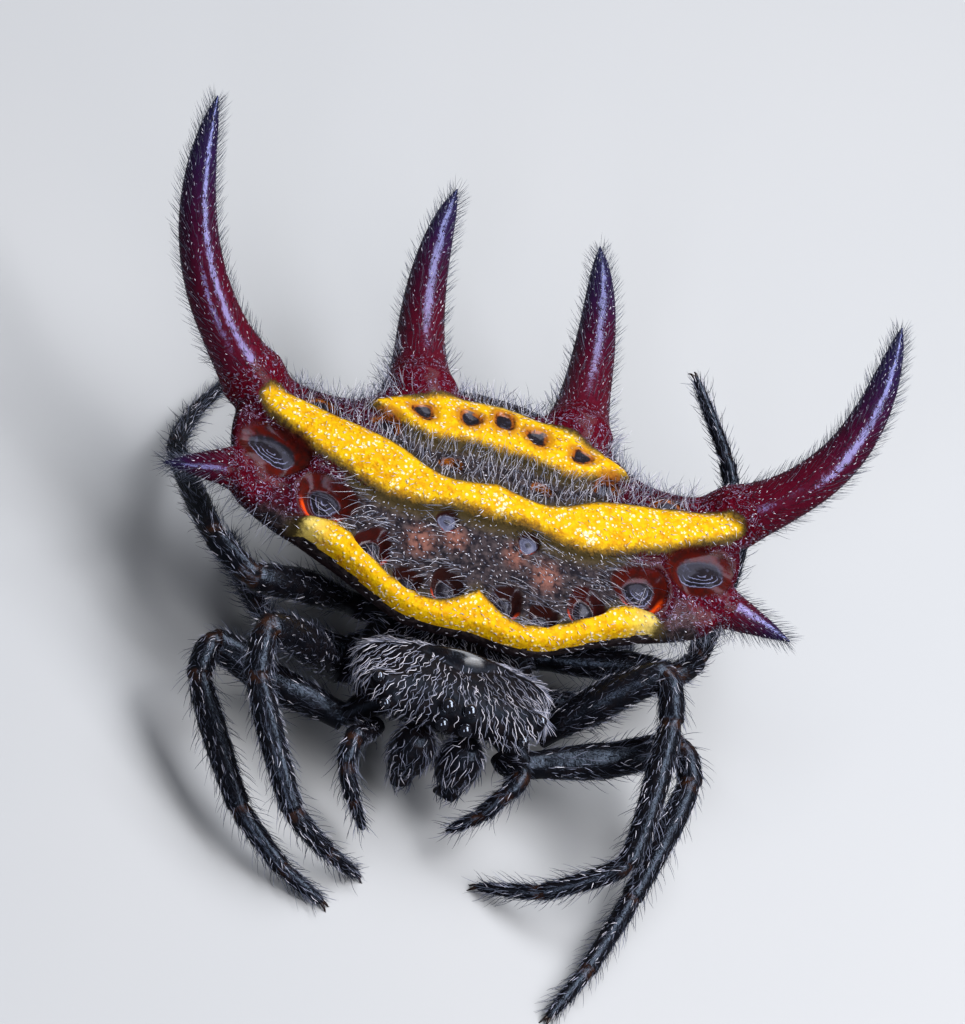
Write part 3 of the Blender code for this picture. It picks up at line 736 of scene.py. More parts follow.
spine_length = {kind: spine_rod(kind, 1, 0, 1, 200).length for kind in SPINES}
print("Spine lengths in mm:", {kind: round(v, 2) for kind, v in spine_length.items()})

# %% [markdown]
# ## The shell
#
# The shell starts as a copy of its solid, so it can't drift away from it. Short trumpets are
# joined on where the spines grow, and a voxel remesh melts all of it into one skin of small
# even faces, which a few rounds of smoothing relax.

# %% Shell
VOXEL = 0.060
SHELL_SMOOTHING = 8
# Length of a spine's root inside the shell, and its flare there
TRUMPETS = {"horn": (1.0, 0.10), "rear_spine": (0.9, 0.22), "front_spine": (0.55, 0.25)}
TRUMPET_RINGS = 60
TRUMPET_FACETS = 32

shell = on_bench("abdomen", "shell")
trumpets = []
roots = []
for kind, spine in SPINES.items():
    length = spine_length[kind]
    depth, flare = TRUMPETS[kind]
    for word, side in SIDES.items():
        rod = spine_rod(kind, side, spine["parted"] - depth / length,
                        spine["parted"] + OVERLAP / length, TRUMPET_RINGS)
        back_off = np.clip(1 - rod.travel / depth, 0, 1)
        rod.radii *= 1 + flare * back_off**2
        rod.radii -= OVERLAP_DIP * smoothstep(depth - OVERLAP, depth + OVERLAP, rod.travel)
        roots.append((rod, depth))
        narrow = Rod(rod.line, rod.radii * (1 - 0.5 * smoothstep(0.5, 1.0, back_off)))
        trumpets.append(narrow.mesh(f"trumpet_{kind}_{word}", TRUMPET_FACETS))
alone(shell)
for trumpet in trumpets:
    trumpet.select_set(True)
bpy.ops.object.join()
shell.data.remesh_voxel_size = VOXEL
bpy.ops.object.voxel_remesh()
apply(shell, "SMOOTH", factor=0.5, iterations=SHELL_SMOOTHING)
print("Melted shell:", len(shell.data.vertices), "points")

# %% [markdown]
# ## The relief drawn on
#
# The shell's upper face is drawn onto the relief, point by point, as a sculptor would follow a
# template. It fades out at the rim and round the spines' roots. For that, each point needs its
# place along the nearest root and its distance from that root's line.

# %% The relief drawn on
EDGE_BLEND = (0.04, 0.30)               # from the rim inwards, where the relief takes over
ROOT_ZONE = (0.06, 0.60)                # out from a spine's own surface, where its root ends
UPPER_DEPTH = 0.6                       # points deeper under the relief aren't the upper face


def from_root(points, rod):
    """For each point: its place along a root, the foot on the root's line, and how far out."""
    nearest = np.argmin(np.linalg.norm(points[:, None, :] - rod.line[None], axis=2), axis=1)
    way = rod.ways[nearest]
    ahead = np.clip(((points - rod.line[nearest]) * way).sum(1), -0.03, 0.03)
    foot = rod.line[nearest] + way * ahead[:, None]
    return rod.travel[nearest] + ahead, foot, np.linalg.norm(points - foot, axis=1)


points = points_of(shell)
x, y, z = points.T
side = np.abs(x)
height = shell_base(x, y)
from_edge = np.minimum(np.minimum(y - along(FRONT_EDGE, side), along(REAR_EDGE, side) - y),
                       SHELL_SIDE + SHELL_BULGE - side)
root_zone = np.zeros(len(points))
for rod, _ in roots:
    travel, _, out = from_root(points, rod)
    past_surface = out - np.interp(travel, rod.travel, rod.radii)
    root_zone = np.maximum(root_zone, 1 - smoothstep(*ROOT_ZONE, past_surface))
upper = smoothstep(*EDGE_BLEND, from_edge) * (z > height - UPPER_DEPTH) * (1 - root_zone)
reach, facing = pit_reach(x, y)
points[:, 2] = z * (1 - upper) + upper * (height + pit_shape(reach, side, y))
set_points(shell, points)
print(int((upper > 0.5).sum()), "points follow the relief")

# %% [markdown]
# ## The spines' roots
#
# The skin round each root is relaxed more strongly, by a smoothing that a vertex group steers.
# Then the root's end is drawn onto the spine's own thickness, so that horn and shell meet
# exactly.

# %% The spines' roots
ROOT_SMOOTHING = 34
ROOT_WEIGHTS = 10                       # steps of the vertex group's weight
ROOT_EXACT = (0.25, 0.65)               # shares of a root's length, where it gets exact
ROOT_REACH = (0.55, 1.6)                # shares of its radius, between which points are its skin

group = shell.vertex_groups.new(name="roots")
for weight in range(1, ROOT_WEIGHTS + 1):
    chosen = np.flatnonzero(np.round(root_zone * ROOT_WEIGHTS) == weight)
    group.add(chosen.tolist(), weight / ROOT_WEIGHTS, "REPLACE")
apply(shell, "SMOOTH", factor=0.5, iterations=ROOT_SMOOTHING, vertex_group="roots")
points = points_of(shell)
for rod, depth in roots:
    travel, foot, out = from_root(points, rod)
    radius = np.interp(travel, rod.travel, rod.radii)
    exact = smoothstep(*ROOT_EXACT, travel / depth)
    exact *= (out > ROOT_REACH[0] * radius) & (out < ROOT_REACH[1] * radius)
    points += ((points - foot) / np.maximum(out, 1e-6)[:, None]
               * (exact * (radius - out))[:, None])
set_points(shell, points)
shell.vertex_groups.clear()
alone(shell)
bpy.ops.object.shade_smooth()
print(len(roots), "roots are drawn onto their spines")

# %% [markdown]
# ## Numbers for the shell's finish
#
# The points of the shell carry what its colours need: how far a point is inside a yellow band,
# how far out from a pit and on which side of it, how wine-red it is, and how far down its side.

# %% Numbers for the shell's finish
TOP_DEPTH = 0.35                        # points deeper under the relief get no band and no pit
NO_BAND = -1.0
NO_PIT = 5.0
UNDER = (-0.75, -0.15)                  # from the rim, the heights between which the belly starts

inside = bands(x, y)[1]
on_top = z > height - TOP_DEPTH
carry(shell, "band", np.where(on_top, inside, NO_BAND))
carry(shell, "pit", np.where(on_top, reach, NO_PIT))
carry(shell, "pit_front", facing)
corner = np.where(y < along(MAIN_BAND_FRONT, side), smoothstep(2.7, 4.0, side),
                  smoothstep(2.0, 3.2, side)) * smoothstep(-4.0, -2.2, y - 0.25 * side)
carry(shell, "maroon", np.maximum(root_zone * 1.2, corner * (z > rim_height(y) - 0.5)))
carry(shell, "under", (1 - smoothstep(*UNDER, z - rim_height(y))) * (1 - root_zone))
print("Shell:", len(points), "points")

# %% [markdown]
# ## Horns and spines
#
# A horn is the same hard skin as the shell, drawn out to a point, but people tell it apart, so
# it is a piece of its own. It starts a quarter of a millimetre inside the shell's trumpet, where
# the two surfaces run together and cross at a very flat angle, so that no seam shows.

# %% Horns and spines
SPINE_NAMES = {"horn": "long_horn", "rear_spine": "hind_spine", "front_spine": "fore_spine"}
SPINE_FACETS = 56
spine_rods = {}
spine_pieces = {}
for kind, title in SPINE_NAMES.items():
    spine = SPINES[kind]
    for word, side in SIDES.items():
        rod = spine_rod(kind, side, spine["parted"] - OVERLAP / spine_length[kind], 1,
                        spine["rings"])
        rod.radii -= OVERLAP_DIP * (1 - smoothstep(0, 2 * OVERLAP, rod.travel))
        node = f"{kind}_{word}"
        spine_rods[node] = rod
        spine_pieces[node] = rod.mesh(f"{title}_{word}", SPINE_FACETS)
print(len(spine_pieces), "spines")

# %% [markdown]
# ## Head and carapace
#
# The front half of a spider is one hard box: the carapace on top, the sternum below and the
# first joint of each leg at its sides. It is melted from its solid as the shell was. Then a
# shallow groove sets the head off from the rest, and a bare hump behind it bears the abdomen's
# front edge.

# %% Head and carapace
HEAD_VOXEL = 0.045
HEAD_SMOOTHING = 12
GROOVE = dict(y=-4.62, lean=0.42, width=0.16, depth=0.07)
HUMP = dict(y=-4.08, reach=(0.58, 0.30), rise=0.12)     # bare and shiny, it bears the shell's edge


def off_hump(x, y):
    """Distance from the hump's middle, in its own reach."""
    return np.hypot(x / HUMP["reach"][0], (y - HUMP["y"]) / HUMP["reach"][1])


head = on_bench("prosoma", "carapace")
head.data.remesh_voxel_size = HEAD_VOXEL
bpy.ops.object.voxel_remesh()
apply(head, "SMOOTH", factor=0.5, iterations=HEAD_SMOOTHING)
points = points_of(head)
x, y, z = points.T
across = y - GROOVE["y"] - GROOVE["lean"] * np.abs(x)
groove = np.exp(-(across / GROOVE["width"])**2) * smoothstep(2.5, 3.0, z)
points[:, 2] -= GROOVE["depth"] * groove
bare = np.exp(-off_hump(x, y)**2) * smoothstep(2.3, 2.8, z)
points[:, 2] += HUMP["rise"] * bare
set_points(head, points)
carry(head, "bare", smoothstep(0.2, 0.5, bare))
print("Carapace:", len(points), "points")

# %% [markdown]
# ## Mounds for the eyes
#
# Each eye sits in a low mound. Points near it are lifted along the direction that it looks in,
# until they reach the level of the mound, and less and less further out.

# %% Mounds for the eyes
# Middle, radius and outward direction of the left eye of each pair
EYES = {"eye_rear_median": ((0.25, -5.72, 3.30), 0.16, (0.12, -0.55, 0.85)),
        "eye_front_median": ((0.26, -5.96, 2.92), 0.15, (0.10, -0.95, 0.30)),
        "eye_rear_side": ((1.86, -5.42, 3.28), 0.12, (0.60, -0.20, 0.78)),
        "eye_front_side": ((1.58, -5.86, 2.98), 0.12, (0.45, -0.85, 0.30))}
EYE_SINK = 0.42                         # how deep an eye sits in its mound, in radii
EYE_MOUND = (0.95, 2.7)                 # where a mound starts to fall and where it ends, in radii

eyes = {}
for pair, (middle, radius, facing) in EYES.items():
    for word, side in SIDES.items():
        centre = np.array(middle) * (side, 1, 1)
        out = np.array(facing) * (side, 1, 1)
        out /= np.linalg.norm(out)
        eyes[f"{pair}_{word}"] = centre, radius, out
        from_centre = points - centre
        ahead = from_centre @ out
        aside = np.linalg.norm(from_centre - ahead[:, None] * out, axis=1) / radius
        nearby = (1 - smoothstep(*EYE_MOUND, aside)) * (ahead > -4 * radius)
        lift = np.maximum(-EYE_SINK * radius - ahead, 0) * nearby * (ahead < radius)
        points += lift[:, None] * out
set_points(head, points)
alone(head)
bpy.ops.object.shade_smooth()
print(len(eyes), "mounds")

# %% [markdown]
# ## Eyes
#
# An orb weaver has eight simple eyes in two rows: four in a square in the middle and a pair at
# each front corner. Each is a smooth lens, a little flatter than a ball, set in a dark ring.

# %% Eyes
EYE_FLATNESS = 0.88
EYE_RING = (0.97, 0.09)                 # radius and thickness of the ring round a lens, in radii
EYE_RING_SINK = 0.22                    # how far it lies behind the lens's middle, in radii
eye_pieces = {}
for node, (centre, radius, out) in eyes.items():
    aim = Vector(out).to_track_quat("Z", "Y").to_euler()
    bpy.ops.object.select_all(action="DESELECT")
    bpy.ops.mesh.primitive_uv_sphere_add(segments=40, ring_count=24, radius=radius,
                                         location=centre, rotation=aim)
    lens = bpy.context.object
    lens.scale = (1, 1, EYE_FLATNESS)
    bpy.ops.mesh.primitive_torus_add(major_segments=40, minor_segments=10,
                                     major_radius=radius * EYE_RING[0],
                                     minor_radius=radius * EYE_RING[1],
                                     location=centre - out * radius * EYE_RING_SINK, rotation=aim)
    lens.select_set(True)
    bpy.context.view_layer.objects.active = lens
    bpy.ops.object.join()
    bpy.ops.object.transform_apply(location=True, rotation=True, scale=True)
    bpy.ops.object.shade_smooth()
    lens.name = node.replace("eye_", "lens_")
    eye_pieces[node] = lens
print(len(eye_pieces), "eyes")

# %% [markdown]
# ## Jaws
#
# The two chelicerae hang under the face like a pair of pears, each with a short fang folded at
# its end. They are melted from their solids, with a fine voxel so that the fang stays sharp.

# %% Jaws
JAW_VOXEL = 0.028
JAW_SMOOTHING = 6
JAW_MIDDLE = 0.60                       # a jaw's middle, out from the body's middle line
JAW_INWARD = 1.27                       # its inner half is stretched until the pair meet
jaws = {}
for word, side in SIDES.items():
    jaw = on_bench(f"chelicera_{word}", f"jaw_{word}")
    jaw.data.remesh_voxel_size = JAW_VOXEL
    bpy.ops.object.voxel_remesh()
    apply(jaw, "SMOOTH", factor=0.5, iterations=JAW_SMOOTHING)
    points = points_of(jaw)
    out = points[:, 0] * side
    inner = JAW_MIDDLE - (JAW_MIDDLE - out) * JAW_INWARD
    points[:, 0] = np.where(out < JAW_MIDDLE, inner, out) * side
    set_points(jaw, points)
    bpy.ops.object.shade_smooth()
    jaws[word] = jaw
print("Jaws:", [len(jaw.data.vertices) for jaw in jaws.values()], "points")

# %% [markdown]
# ## Places and sizes of the legs
#
# A leg is a row of hard tubes, each with a flared rim that covers the soft joint before the
# next. The tubes follow one smooth line through hip, knee and tip, so a leg is made as one rod
# whose thickness steps at each joint. Its six places are the hip, four joints and the tip, and
# its radii are listed at places counted in joints.

# %% Places and sizes of the legs
LEGS = {
    "leg_1_left": [(2.45, -4.98, 1.42), (5.42, -4.02, 2.06), (5.74, -4.76, 1.88),
                   (4.97, -7.36, 0.70), (4.18, -9.40, 0.36), (3.47, -10.74, 0.12)],
    "leg_2_left": [(2.62, -3.98, 1.62), (4.50, -3.32, 3.46), (4.81, -4.32, 3.18),
                   (4.48, -7.36, 1.78), (2.90, -7.95, 0.78), (1.60, -7.75, 0.14)],
    "leg_3_left": [(2.52, -2.98, 1.22), (3.75, -2.85, 1.18), (4.10, -2.30, 1.18),
                   (4.45, -1.20, 0.72), (4.55, -0.30, 0.34), (4.55, 0.55, 0.12)],
    "leg_4_left": [(2.42, -1.98, 1.55), (5.05, -2.10, 2.22), (5.60, -1.40, 2.14),
                   (6.35, 2.20, 2.40), (5.75, 3.95, 3.10), (4.58, 5.50, 3.95)],
    "leg_1_right": [(-2.45, -4.98, 1.30), (-5.25, -4.52, 1.86), (-5.42, -5.45, 1.72),
                    (-4.02, -8.05, 0.98), (-2.80, -8.92, 0.44), (-1.75, -9.30, 0.12)],
    "leg_2_right": [(-2.62, -3.98, 1.62), (-4.45, -5.12, 3.42), (-4.44, -6.10, 3.02),
                    (-3.00, -8.30, 1.65), (-1.95, -8.45, 0.80), (-1.05, -8.33, 0.14)],
    "leg_3_right": [(-2.52, -2.98, 1.15), (-3.70, -2.95, 1.06), (-4.10, -2.45, 1.00),
                    (-4.60, -1.40, 0.72), (-4.80, -0.50, 0.34), (-4.90, 0.35, 0.12)],
    "leg_4_right": [(-2.42, -1.98, 1.55), (-4.80, -3.15, 2.80), (-5.72, -2.38, 2.80),
                    (-6.65, 1.20, 1.45), (-6.20, 3.30, 0.55), (-5.50, 4.90, 0.12)]}
FEMUR_ARCH = {"leg_1": -0.12, "leg_2": 0.25, "leg_3": 0.0, "leg_4": 0.12}
LEG_SIZE = {"leg_1": 1.0, "leg_2": 1.0, "leg_3": 0.82, "leg_4": 0.94}
LEG_RADIUS = [(0, 0.32), (0.35, 0.42), (0.8, 0.39), (1, 0.31), (1.4, 0.30), (2, 0.27),
              (2.4, 0.30), (3, 0.24), (3.6, 0.21), (4, 0.19), (4.6, 0.15), (4.9, 0.10),
              (5, 0.05)]
BARE = 0.97                             # a leg without its hair is a little thinner
print("Legs:", ", ".join(LEGS))

# %% [markdown]
# ## Legs
#
# Each leg's thigh is arched a little, and the leg runs back into its coxa. At a joint the tube
# flares to a rim, the soft skin after it is narrower, and the next tube widens again. Whatever
# would dip under the floor is pressed flat, as a foot is.

# %% Legs
LEG_STEP = 0.06                         # length of one ring of a leg
LEG_FACETS = 30
HIP_REACH = 0.40                        # how far a leg runs back into its coxa
RIM_FLARE = 0.04                        # a tube's rim, as a share of its radius
RIM_LENGTH = (-0.40, -0.06)             # before a joint, where the rim flares
JOINT_DIP = 0.13                        # the soft joint, narrower than the tubes by this share
JOINT_LENGTH = (0.05, 0.26)             # after a joint, where the next tube gets its full width
FLOOR_Z = 0.004                         # nothing of the spider reaches lower than this, in mm


def jointed(rod, places, joints):
    """Step a rod's radii at its joints, given where those are along it."""
    shape = np.ones(len(rod.radii))
    for joint in joints:
        past = rod.travel - np.interp(joint, places, rod.travel)
        soft = (past >= 0) * (1 - smoothstep(*JOINT_LENGTH, past))
        shape *= 1 + RIM_FLARE * smoothstep(*RIM_LENGTH, past) * (past < 0)
        shape *= 1 - JOINT_DIP * soft
        rod.joints = np.maximum(rod.joints, soft)
    rod.radii = rod.radii * shape


def leg_rod(name):
    """The rod of one leg, from its coxa to its tip."""
    joints = [np.array(p, float) for p in LEGS[name]]
    middle = 0.5 * (joints[0] + joints[1]) + (0, 0, FEMUR_ARCH[name[:5]])
    line, places = smooth_line([joints[0], middle] + joints[1:], LEG_STEP)
    places = np.where(places < 2, places / 2, places - 1)
    way = (line[1] - line[0]) / np.linalg.norm(line[1] - line[0])
    lead = np.arange(round(HIP_REACH / LEG_STEP), 0, -1)[:, None] * LEG_STEP
    line = np.vstack([line[0] - way * lead, line])
    places = np.concatenate([-lead[:, 0], places])
    radii = np.interp(places, *zip(*LEG_RADIUS)) * LEG_SIZE[name[:5]] * BARE
    rod = Rod(line, radii)
    jointed(rod, places, (1, 2, 3, 4))
    return rod


def keep_off_floor(obj):
    """Flatten what would dip under the floor."""
    points = points_of(obj)
    points[:, 2] = np.maximum(points[:, 2], FLOOR_Z)
    set_points(obj, points)


leg_rods = {}
leg_pieces = {}
for name in LEGS:
    leg_rods[name] = leg_rod(name)
    leg_pieces[name] = leg_rods[name].mesh(f"skin_{name}", LEG_FACETS)
    keep_off_floor(leg_pieces[name])
print("Leg lengths in mm:", {name: round(rod.length, 1) for name, rod in leg_rods.items()})

# %% [markdown]
# ## Palps
#
# A palp is a short leg beside the mouth, made in the same way. It has one joint fewer and ends
# in a blunt tip.

# %% Palps
PALPS = {"left": [(1.40, -5.38, 1.72), (1.50, -5.56, 1.75), (1.86, -6.05, 2.08),
                  (1.62, -6.45, 1.90), (1.22, -6.80, 1.36), (0.62, -7.05, 0.82)],
         "right": [(-1.38, -5.36, 1.68), (-1.50, -5.56, 1.70), (-1.95, -6.25, 2.08),
                   (-2.00, -6.75, 1.80), (-1.62, -7.15, 1.20), (-1.16, -7.45, 0.62)]}
PALP_RADIUS = [(0, 0.20), (1, 0.22), (2, 0.23), (3, 0.20), (4, 0.17), (4.7, 0.11), (4.92, 0.07),
               (5, 0.03)]
PALP_FACETS = 26

palp_rods = {}
palp_pieces = {}
for word in SIDES:
    line, places = smooth_line(PALPS[word], LEG_STEP)
    rod = Rod(line, np.interp(places, *zip(*PALP_RADIUS)))
    jointed(rod, places, (2, 3, 4))
    palp_rods[word] = rod
    palp_pieces[word] = rod.mesh(f"feeler_{word}", PALP_FACETS)
print("Palp lengths in mm:", {word: round(rod.length, 1) for word, rod in palp_rods.items()})

# %% [markdown]
# ## Claws
#
# Each leg ends in a pair of combed claws and a small middle hook, by which the spider holds a
# thread. They are rods too, only a quarter of a millimetre long.

# %% Claws
CLAW_LENGTH = 0.24
CLAW_RADIUS = 0.035
CLAW_POINT = 0.004                      # radius of a claw's point
CLAW_SPREAD = 0.07
CLAW_BEND = 1.35                        # how far a claw turns down, in radians
CLAW_ROOT = 0.06                        # how far it is rooted in the leg
CLAW_DROP = 0.55                        # how far it drops besides, in its own lengths
CLAWS = ((1, 1.0), (-1, 1.0), (0, 0.6))         # side and size of the pair and the middle hook

claw_pieces = {}
for name, rod in leg_rods.items():
    tip = rod.line[-1]
    way = rod.line[-1] - rod.line[-4]
    way /= np.linalg.norm(way)
    flank = np.cross(way, (0, 0, 1.0))
    flank /= np.linalg.norm(flank)
    hooks = []
    for spread, size in CLAWS:
        t = np.linspace(0, 1, 9)[:, None]
        length = CLAW_LENGTH * size
        line = (tip - way * CLAW_ROOT + way * length * np.sin(CLAW_BEND * t)
                + flank * spread * CLAW_SPREAD * (0.35 + t)
                - np.array([0, 0, 1.0]) * length * CLAW_DROP * t**2)
        radii = CLAW_RADIUS * size * (1 - t[:, 0]**1.5) + CLAW_POINT
        hooks.append(Rod(line, radii).mesh(f"claws_{name}", 8))
    alone(hooks[0])
    for hook in hooks[1:]:
        hook.select_set(True)
    bpy.ops.object.join()
    keep_off_floor(hooks[0])
    claw_pieces[name] = hooks[0]
print(len(claw_pieces), "sets of claws")

# %% [markdown]
# ## Waist and spinnerets
#
# A thin waist joins the two halves of the body. Under the abdomen's rear a hard ring surrounds
# the spinnerets: two large cones in front, two behind and two small ones between. All of them
# lean in towards their middle.

# %% Waist and spinnerets
WAIST = [(0, -1.75, 1.82), (0, -1.45, 1.80), (0, -1.10, 1.88), (0, -0.72, 1.98), (0, -0.45, 2.1)]
WAIST_RADII = [0.34, 0.30, 0.27, 0.32, 0.36]
WAIST_STEP = 0.05
# Distance from the middle line, place along Y, radius and length
SPINNERETS = [(0.17, 1.06, 0.15, 0.40), (0.16, 1.42, 0.13, 0.36), (0.07, 1.24, 0.07, 0.28)]
# Shares of a cone's length and of its radius there
SPINNERET_TAPER = [(0, 1), (0.3, 1), (0.62, 0.8), (0.66, 0.6), (0.9, 0.42), (1, 0.1)]
SPINNERET_TOP = 0.98
SPINNERET_MIDDLE = 1.24                 # along Y
RING_PLACE = (0, 1.25, 0.93)
RING_SIZE = (0.42, 0.07)

line, places = smooth_line(WAIST, WAIST_STEP)
waist = Rod(line, np.interp(places, range(len(WAIST_RADII)), WAIST_RADII)).mesh("waist", 24)
cones = []
for at_x, at_y, radius, length in SPINNERETS:
    for side in SIDES.values():
        t = np.linspace(0, 1, 14)
        top = np.array([side * at_x, at_y, SPINNERET_TOP])
        lean = np.array([-side * 0.25, (SPINNERET_MIDDLE - at_y) * 0.5, -1.0])
        radii = radius * np.interp(t, *zip(*SPINNERET_TAPER))
        cones.append(Rod(top + t[:, None] * lean * length, radii).mesh("spinneret_cluster", 18))
bpy.ops.mesh.primitive_torus_add(major_segments=48, minor_segments=12, location=RING_PLACE,
                                 major_radius=RING_SIZE[0], minor_radius=RING_SIZE[1])
ring = bpy.context.object
alone(cones[0])
ring.select_set(True)
for cone in cones[1:]:
    cone.select_set(True)
bpy.ops.object.join()
bpy.ops.object.shade_smooth()
spinnerets = cones[0]
print("Waist and", 2 * len(SPINNERETS), "spinnerets")

# %% [markdown]
# ## Wine-red wax
#
# The horns are crimson at the root and darken through plum to blue-black at the tip. The shell
# has the same wax at its corners and round each root, so one recipe serves both, and the two
# meet without a line. Its reflections are tinted lavender. Towards a tip the surface is rough
# with the sockets of bristles.

# %% Wine-red wax
WAX_STOPS = [(0.0, (0.078, 0.0004, 0.0055)), (0.30, (0.060, 0.0004, 0.0060)),
             (0.55, (0.034, 0.0010, 0.0130)), (0.76, (0.018, 0.0050, 0.0340)),
             (1.0, (0.012, 0.0140, 0.0480))]
WAX_DARK = (0.014, 0.0005, 0.002)
WAX_SHEEN = (0.45, 0.50, 1.0)
SOCKET_PALE = (0.42, 0.38, 0.48)
HORN_SHINE = 0.95


def wax(look, place):
    """Colour, roughness and relief of the wax at a share of the way to a spine's tip."""
    lumps = look.noise(1.6, 3)
    mottle = look.noise(8.0, 4, 0.6)
    sockets = look.cells(7.5)
    colour = look.ramp((lumps - 0.5) * 0.14 + place, WAX_STOPS)
    colour = look.blend(mottle.fade(0.50, 0.80) * 0.5, colour, WAX_DARK)
    speck = (1 - sockets.fade(0.05, 0.13)) * (place * 0.6 + 0.25)
    colour = look.blend(speck, colour, SOCKET_PALE)
    relief = look.relief(lumps, 0.04)
    relief = look.relief(mottle, 0.008, relief)
    relief = look.relief((1 - sockets.fade(0.0, 0.35)) * (place + 0.25), 0.010, relief)
    return colour, mottle * 0.10 + 0.15, relief


horn = Look("horn_wax")
to_tip = horn.attribute("along")
colour, rough, relief = wax(horn, to_tip)
horn.finish(Base_Color=colour, Roughness=rough, Normal=relief, Specular_Tint=WAX_SHEEN,
            Specular_IOR_Level=HORN_SHINE)
for node, piece in spine_pieces.items():
    settle(piece, horn.material, [node])

# %% [markdown]
# ## Values for the shell's finish
#
# Three colours meet on the shell: yellow, charcoal and wine-red, with the dark pits among them.
# Each is a mask made from the numbers that the mesh carries, roughened by noise, so that no
# border is drawn with a ruler. All the masks share a few values: how far a point is to the side
# and to the rear, noise of three sizes, and cells for the grain of the ridges.

# %% Values for the shell's finish
skin = Look("shell_cuticle")
band = skin.attribute("band")
pit = skin.attribute("pit")
pit_front = skin.attribute("pit_front")
side = skin.node("Math", {"operation": "ABSOLUTE"}, {0: skin.axis("X")})
to_rear = skin.axis("Y")
lumps = skin.noise(2.2, 3)
mottle = skin.noise(7.0, 4, 0.6)
fine = skin.noise(28.0, 2)
grain = skin.cells(9.0)


def patches(listed):
    """A mask of soft round patches on both sides of the middle line."""
    mask = 0.0
    for at_x, at_y, reach_mm in listed:
        away = ((side - at_x) * (side - at_x) + (to_rear - at_y) * (to_rear - at_y)) ** 0.5
        mask = (1 - away.fade(0.0, reach_mm)) + mask
    return mask.limited()


print("Values for", skin.material.name)

# %% [markdown]
# ## Yellow ridges
#
# The ridges are a golden yellow, granular and bright, with an olive edge. Their inner part is
# lighter, as painted light, which leaves painted shade at their foot. Painted highlights of tiny
# cream grains glint on them, most of all in the middle of the main ridge. The ends of the front
# band and the rear edge of the rear one are paler, and round the rear band's pits the yellow is
# stained with rust.

# %% Yellow ridges
YELLOW = (0.60, 0.32, 0.001)
YELLOW_PAINTED_LIGHT = (0.66, 0.41, 0.001)
# painted light: the yellow of a ridge's lit inner part
YELLOW_DEEP = (0.50, 0.205, 0.001)
YELLOW_PALE = (0.62, 0.50, 0.14)
# a painted highlight: the glint of the ridges' grains
YELLOW_PAINTED_GLINT = (0.86, 0.77, 0.52)
OLIVE = (0.060, 0.042, 0.012)
RUST = (0.30, 0.085, 0.008)
# Where the painted highlights are strongest: distance from the middle line, place along Y and reach
PAINTED_GLINT_PATCHES = [(0.0, -0.72, 0.42), (2.18, -0.84, 0.38)]

ragged = band + (mottle - 0.5) * 0.18 + (fine - 0.5) * 0.09
in_band = ragged.fade(-0.04, 0.05)
deep_in_band = ragged.fade(0.0, 0.24)
gold = skin.blend(lumps.fade(0.35, 0.70), YELLOW_DEEP, YELLOW)
# Painted light: lighter over each ridge's inner part, leaving painted shade at its foot
gold = skin.blend(deep_in_band * mottle.fade(0.30, 0.70), gold, YELLOW_PAINTED_LIGHT)
# Painted highlights: cream glints on the grains, strongest in two patches
painted_grain_glint = patches(PAINTED_GLINT_PATCHES) * 0.25 + lumps.fade(0.42, 0.58) * 0.14 + 0.36
painted_grain_glint = (painted_grain_glint - grain).fade(0.08, 0.28) * fine.fade(0.38, 0.50) * deep_in_band * 0.85
gold = skin.blend(painted_grain_glint.limited(), gold, YELLOW_PAINTED_GLINT)
front_ends = side.fade(3.3, 4.1) * (1 - to_rear.fade(-1.6, -1.2))
rear_edge = to_rear.fade(2.10, 2.42) * (1 - side.fade(1.6, 2.2))
gold = skin.blend(front_ends.larger(rear_edge) * 0.8, gold, YELLOW_PALE)
gold = skin.blend(deep_in_band, OLIVE, gold)
halo = (1 - pit.fade(1.25, 1.75)) * to_rear.fade(*SHALLOW_BEHIND) * mottle.fade(0.25, 0.55)
gold = skin.blend(halo * 0.75, gold, RUST)
print("Yellow ridges are mixed")

# %% [markdown]
# ## Charcoal and wax
#
# Between the ridges the skin is charcoal, with faint flesh-coloured patches on both sides of the
# middle line. At the corners and where the spines grow it turns into the wine-red wax, which is
# crinkled there: thin pale lines of painted highlight follow the contours of a noise.

# %% Charcoal and wax
CHARCOAL = (0.008, 0.006, 0.006)
CHARCOAL_LIGHT = (0.062, 0.046, 0.045)
FLESH = (0.24, 0.095, 0.065)
# a painted highlight on the crinkles of the wax
WAX_PAINTED_GLINT = (0.46, 0.36, 0.58)
# Distance from the middle line, place along Y and reach
FLESH_PATCHES = [(0.70, -1.64, 0.42), (1.45, -1.90, 0.52)]

grey = skin.blend(mottle.fade(0.35, 0.75), CHARCOAL, CHARCOAL_LIGHT)
grey = skin.blend(ragged.fade(-0.34, 0.0) * 0.8, grey, OLIVE)
flesh = patches(FLESH_PATCHES) * mottle.fade(0.30, 0.60)
grey = skin.blend(flesh * 0.85, grey, FLESH)
wine, wax_rough, wax_relief = wax(skin, 0.0)
# The crinkles' thin pale lines are painted highlights; the relief below also rumples the wax along
# them
contours = (skin.noise(4.0, 2) * 60 + pit * 9).wave().fade(0.50, 0.95)
crinkles_and_painted_glints = contours * mottle.fade(0.44, 0.54)
wine = skin.blend(crinkles_and_painted_glints * 0.60, wine, WAX_PAINTED_GLINT)
maroon = skin.attribute("maroon")
off_root = 1 - maroon.fade(1.0, 1.18)
wine = skin.blend(off_root * (1 - crinkles_and_painted_glints) * 0.55, wine, WAX_DARK)
in_wax = (maroon + (mottle - 0.5) * 0.35 + (lumps - 0.5) * 0.25).fade(0.30, 0.70)
in_wax = in_wax * (1 - in_band)
colour = skin.blend(in_wax, grey, wine)
colour = skin.blend(in_band, colour, gold)
print("Charcoal and wax are mixed")
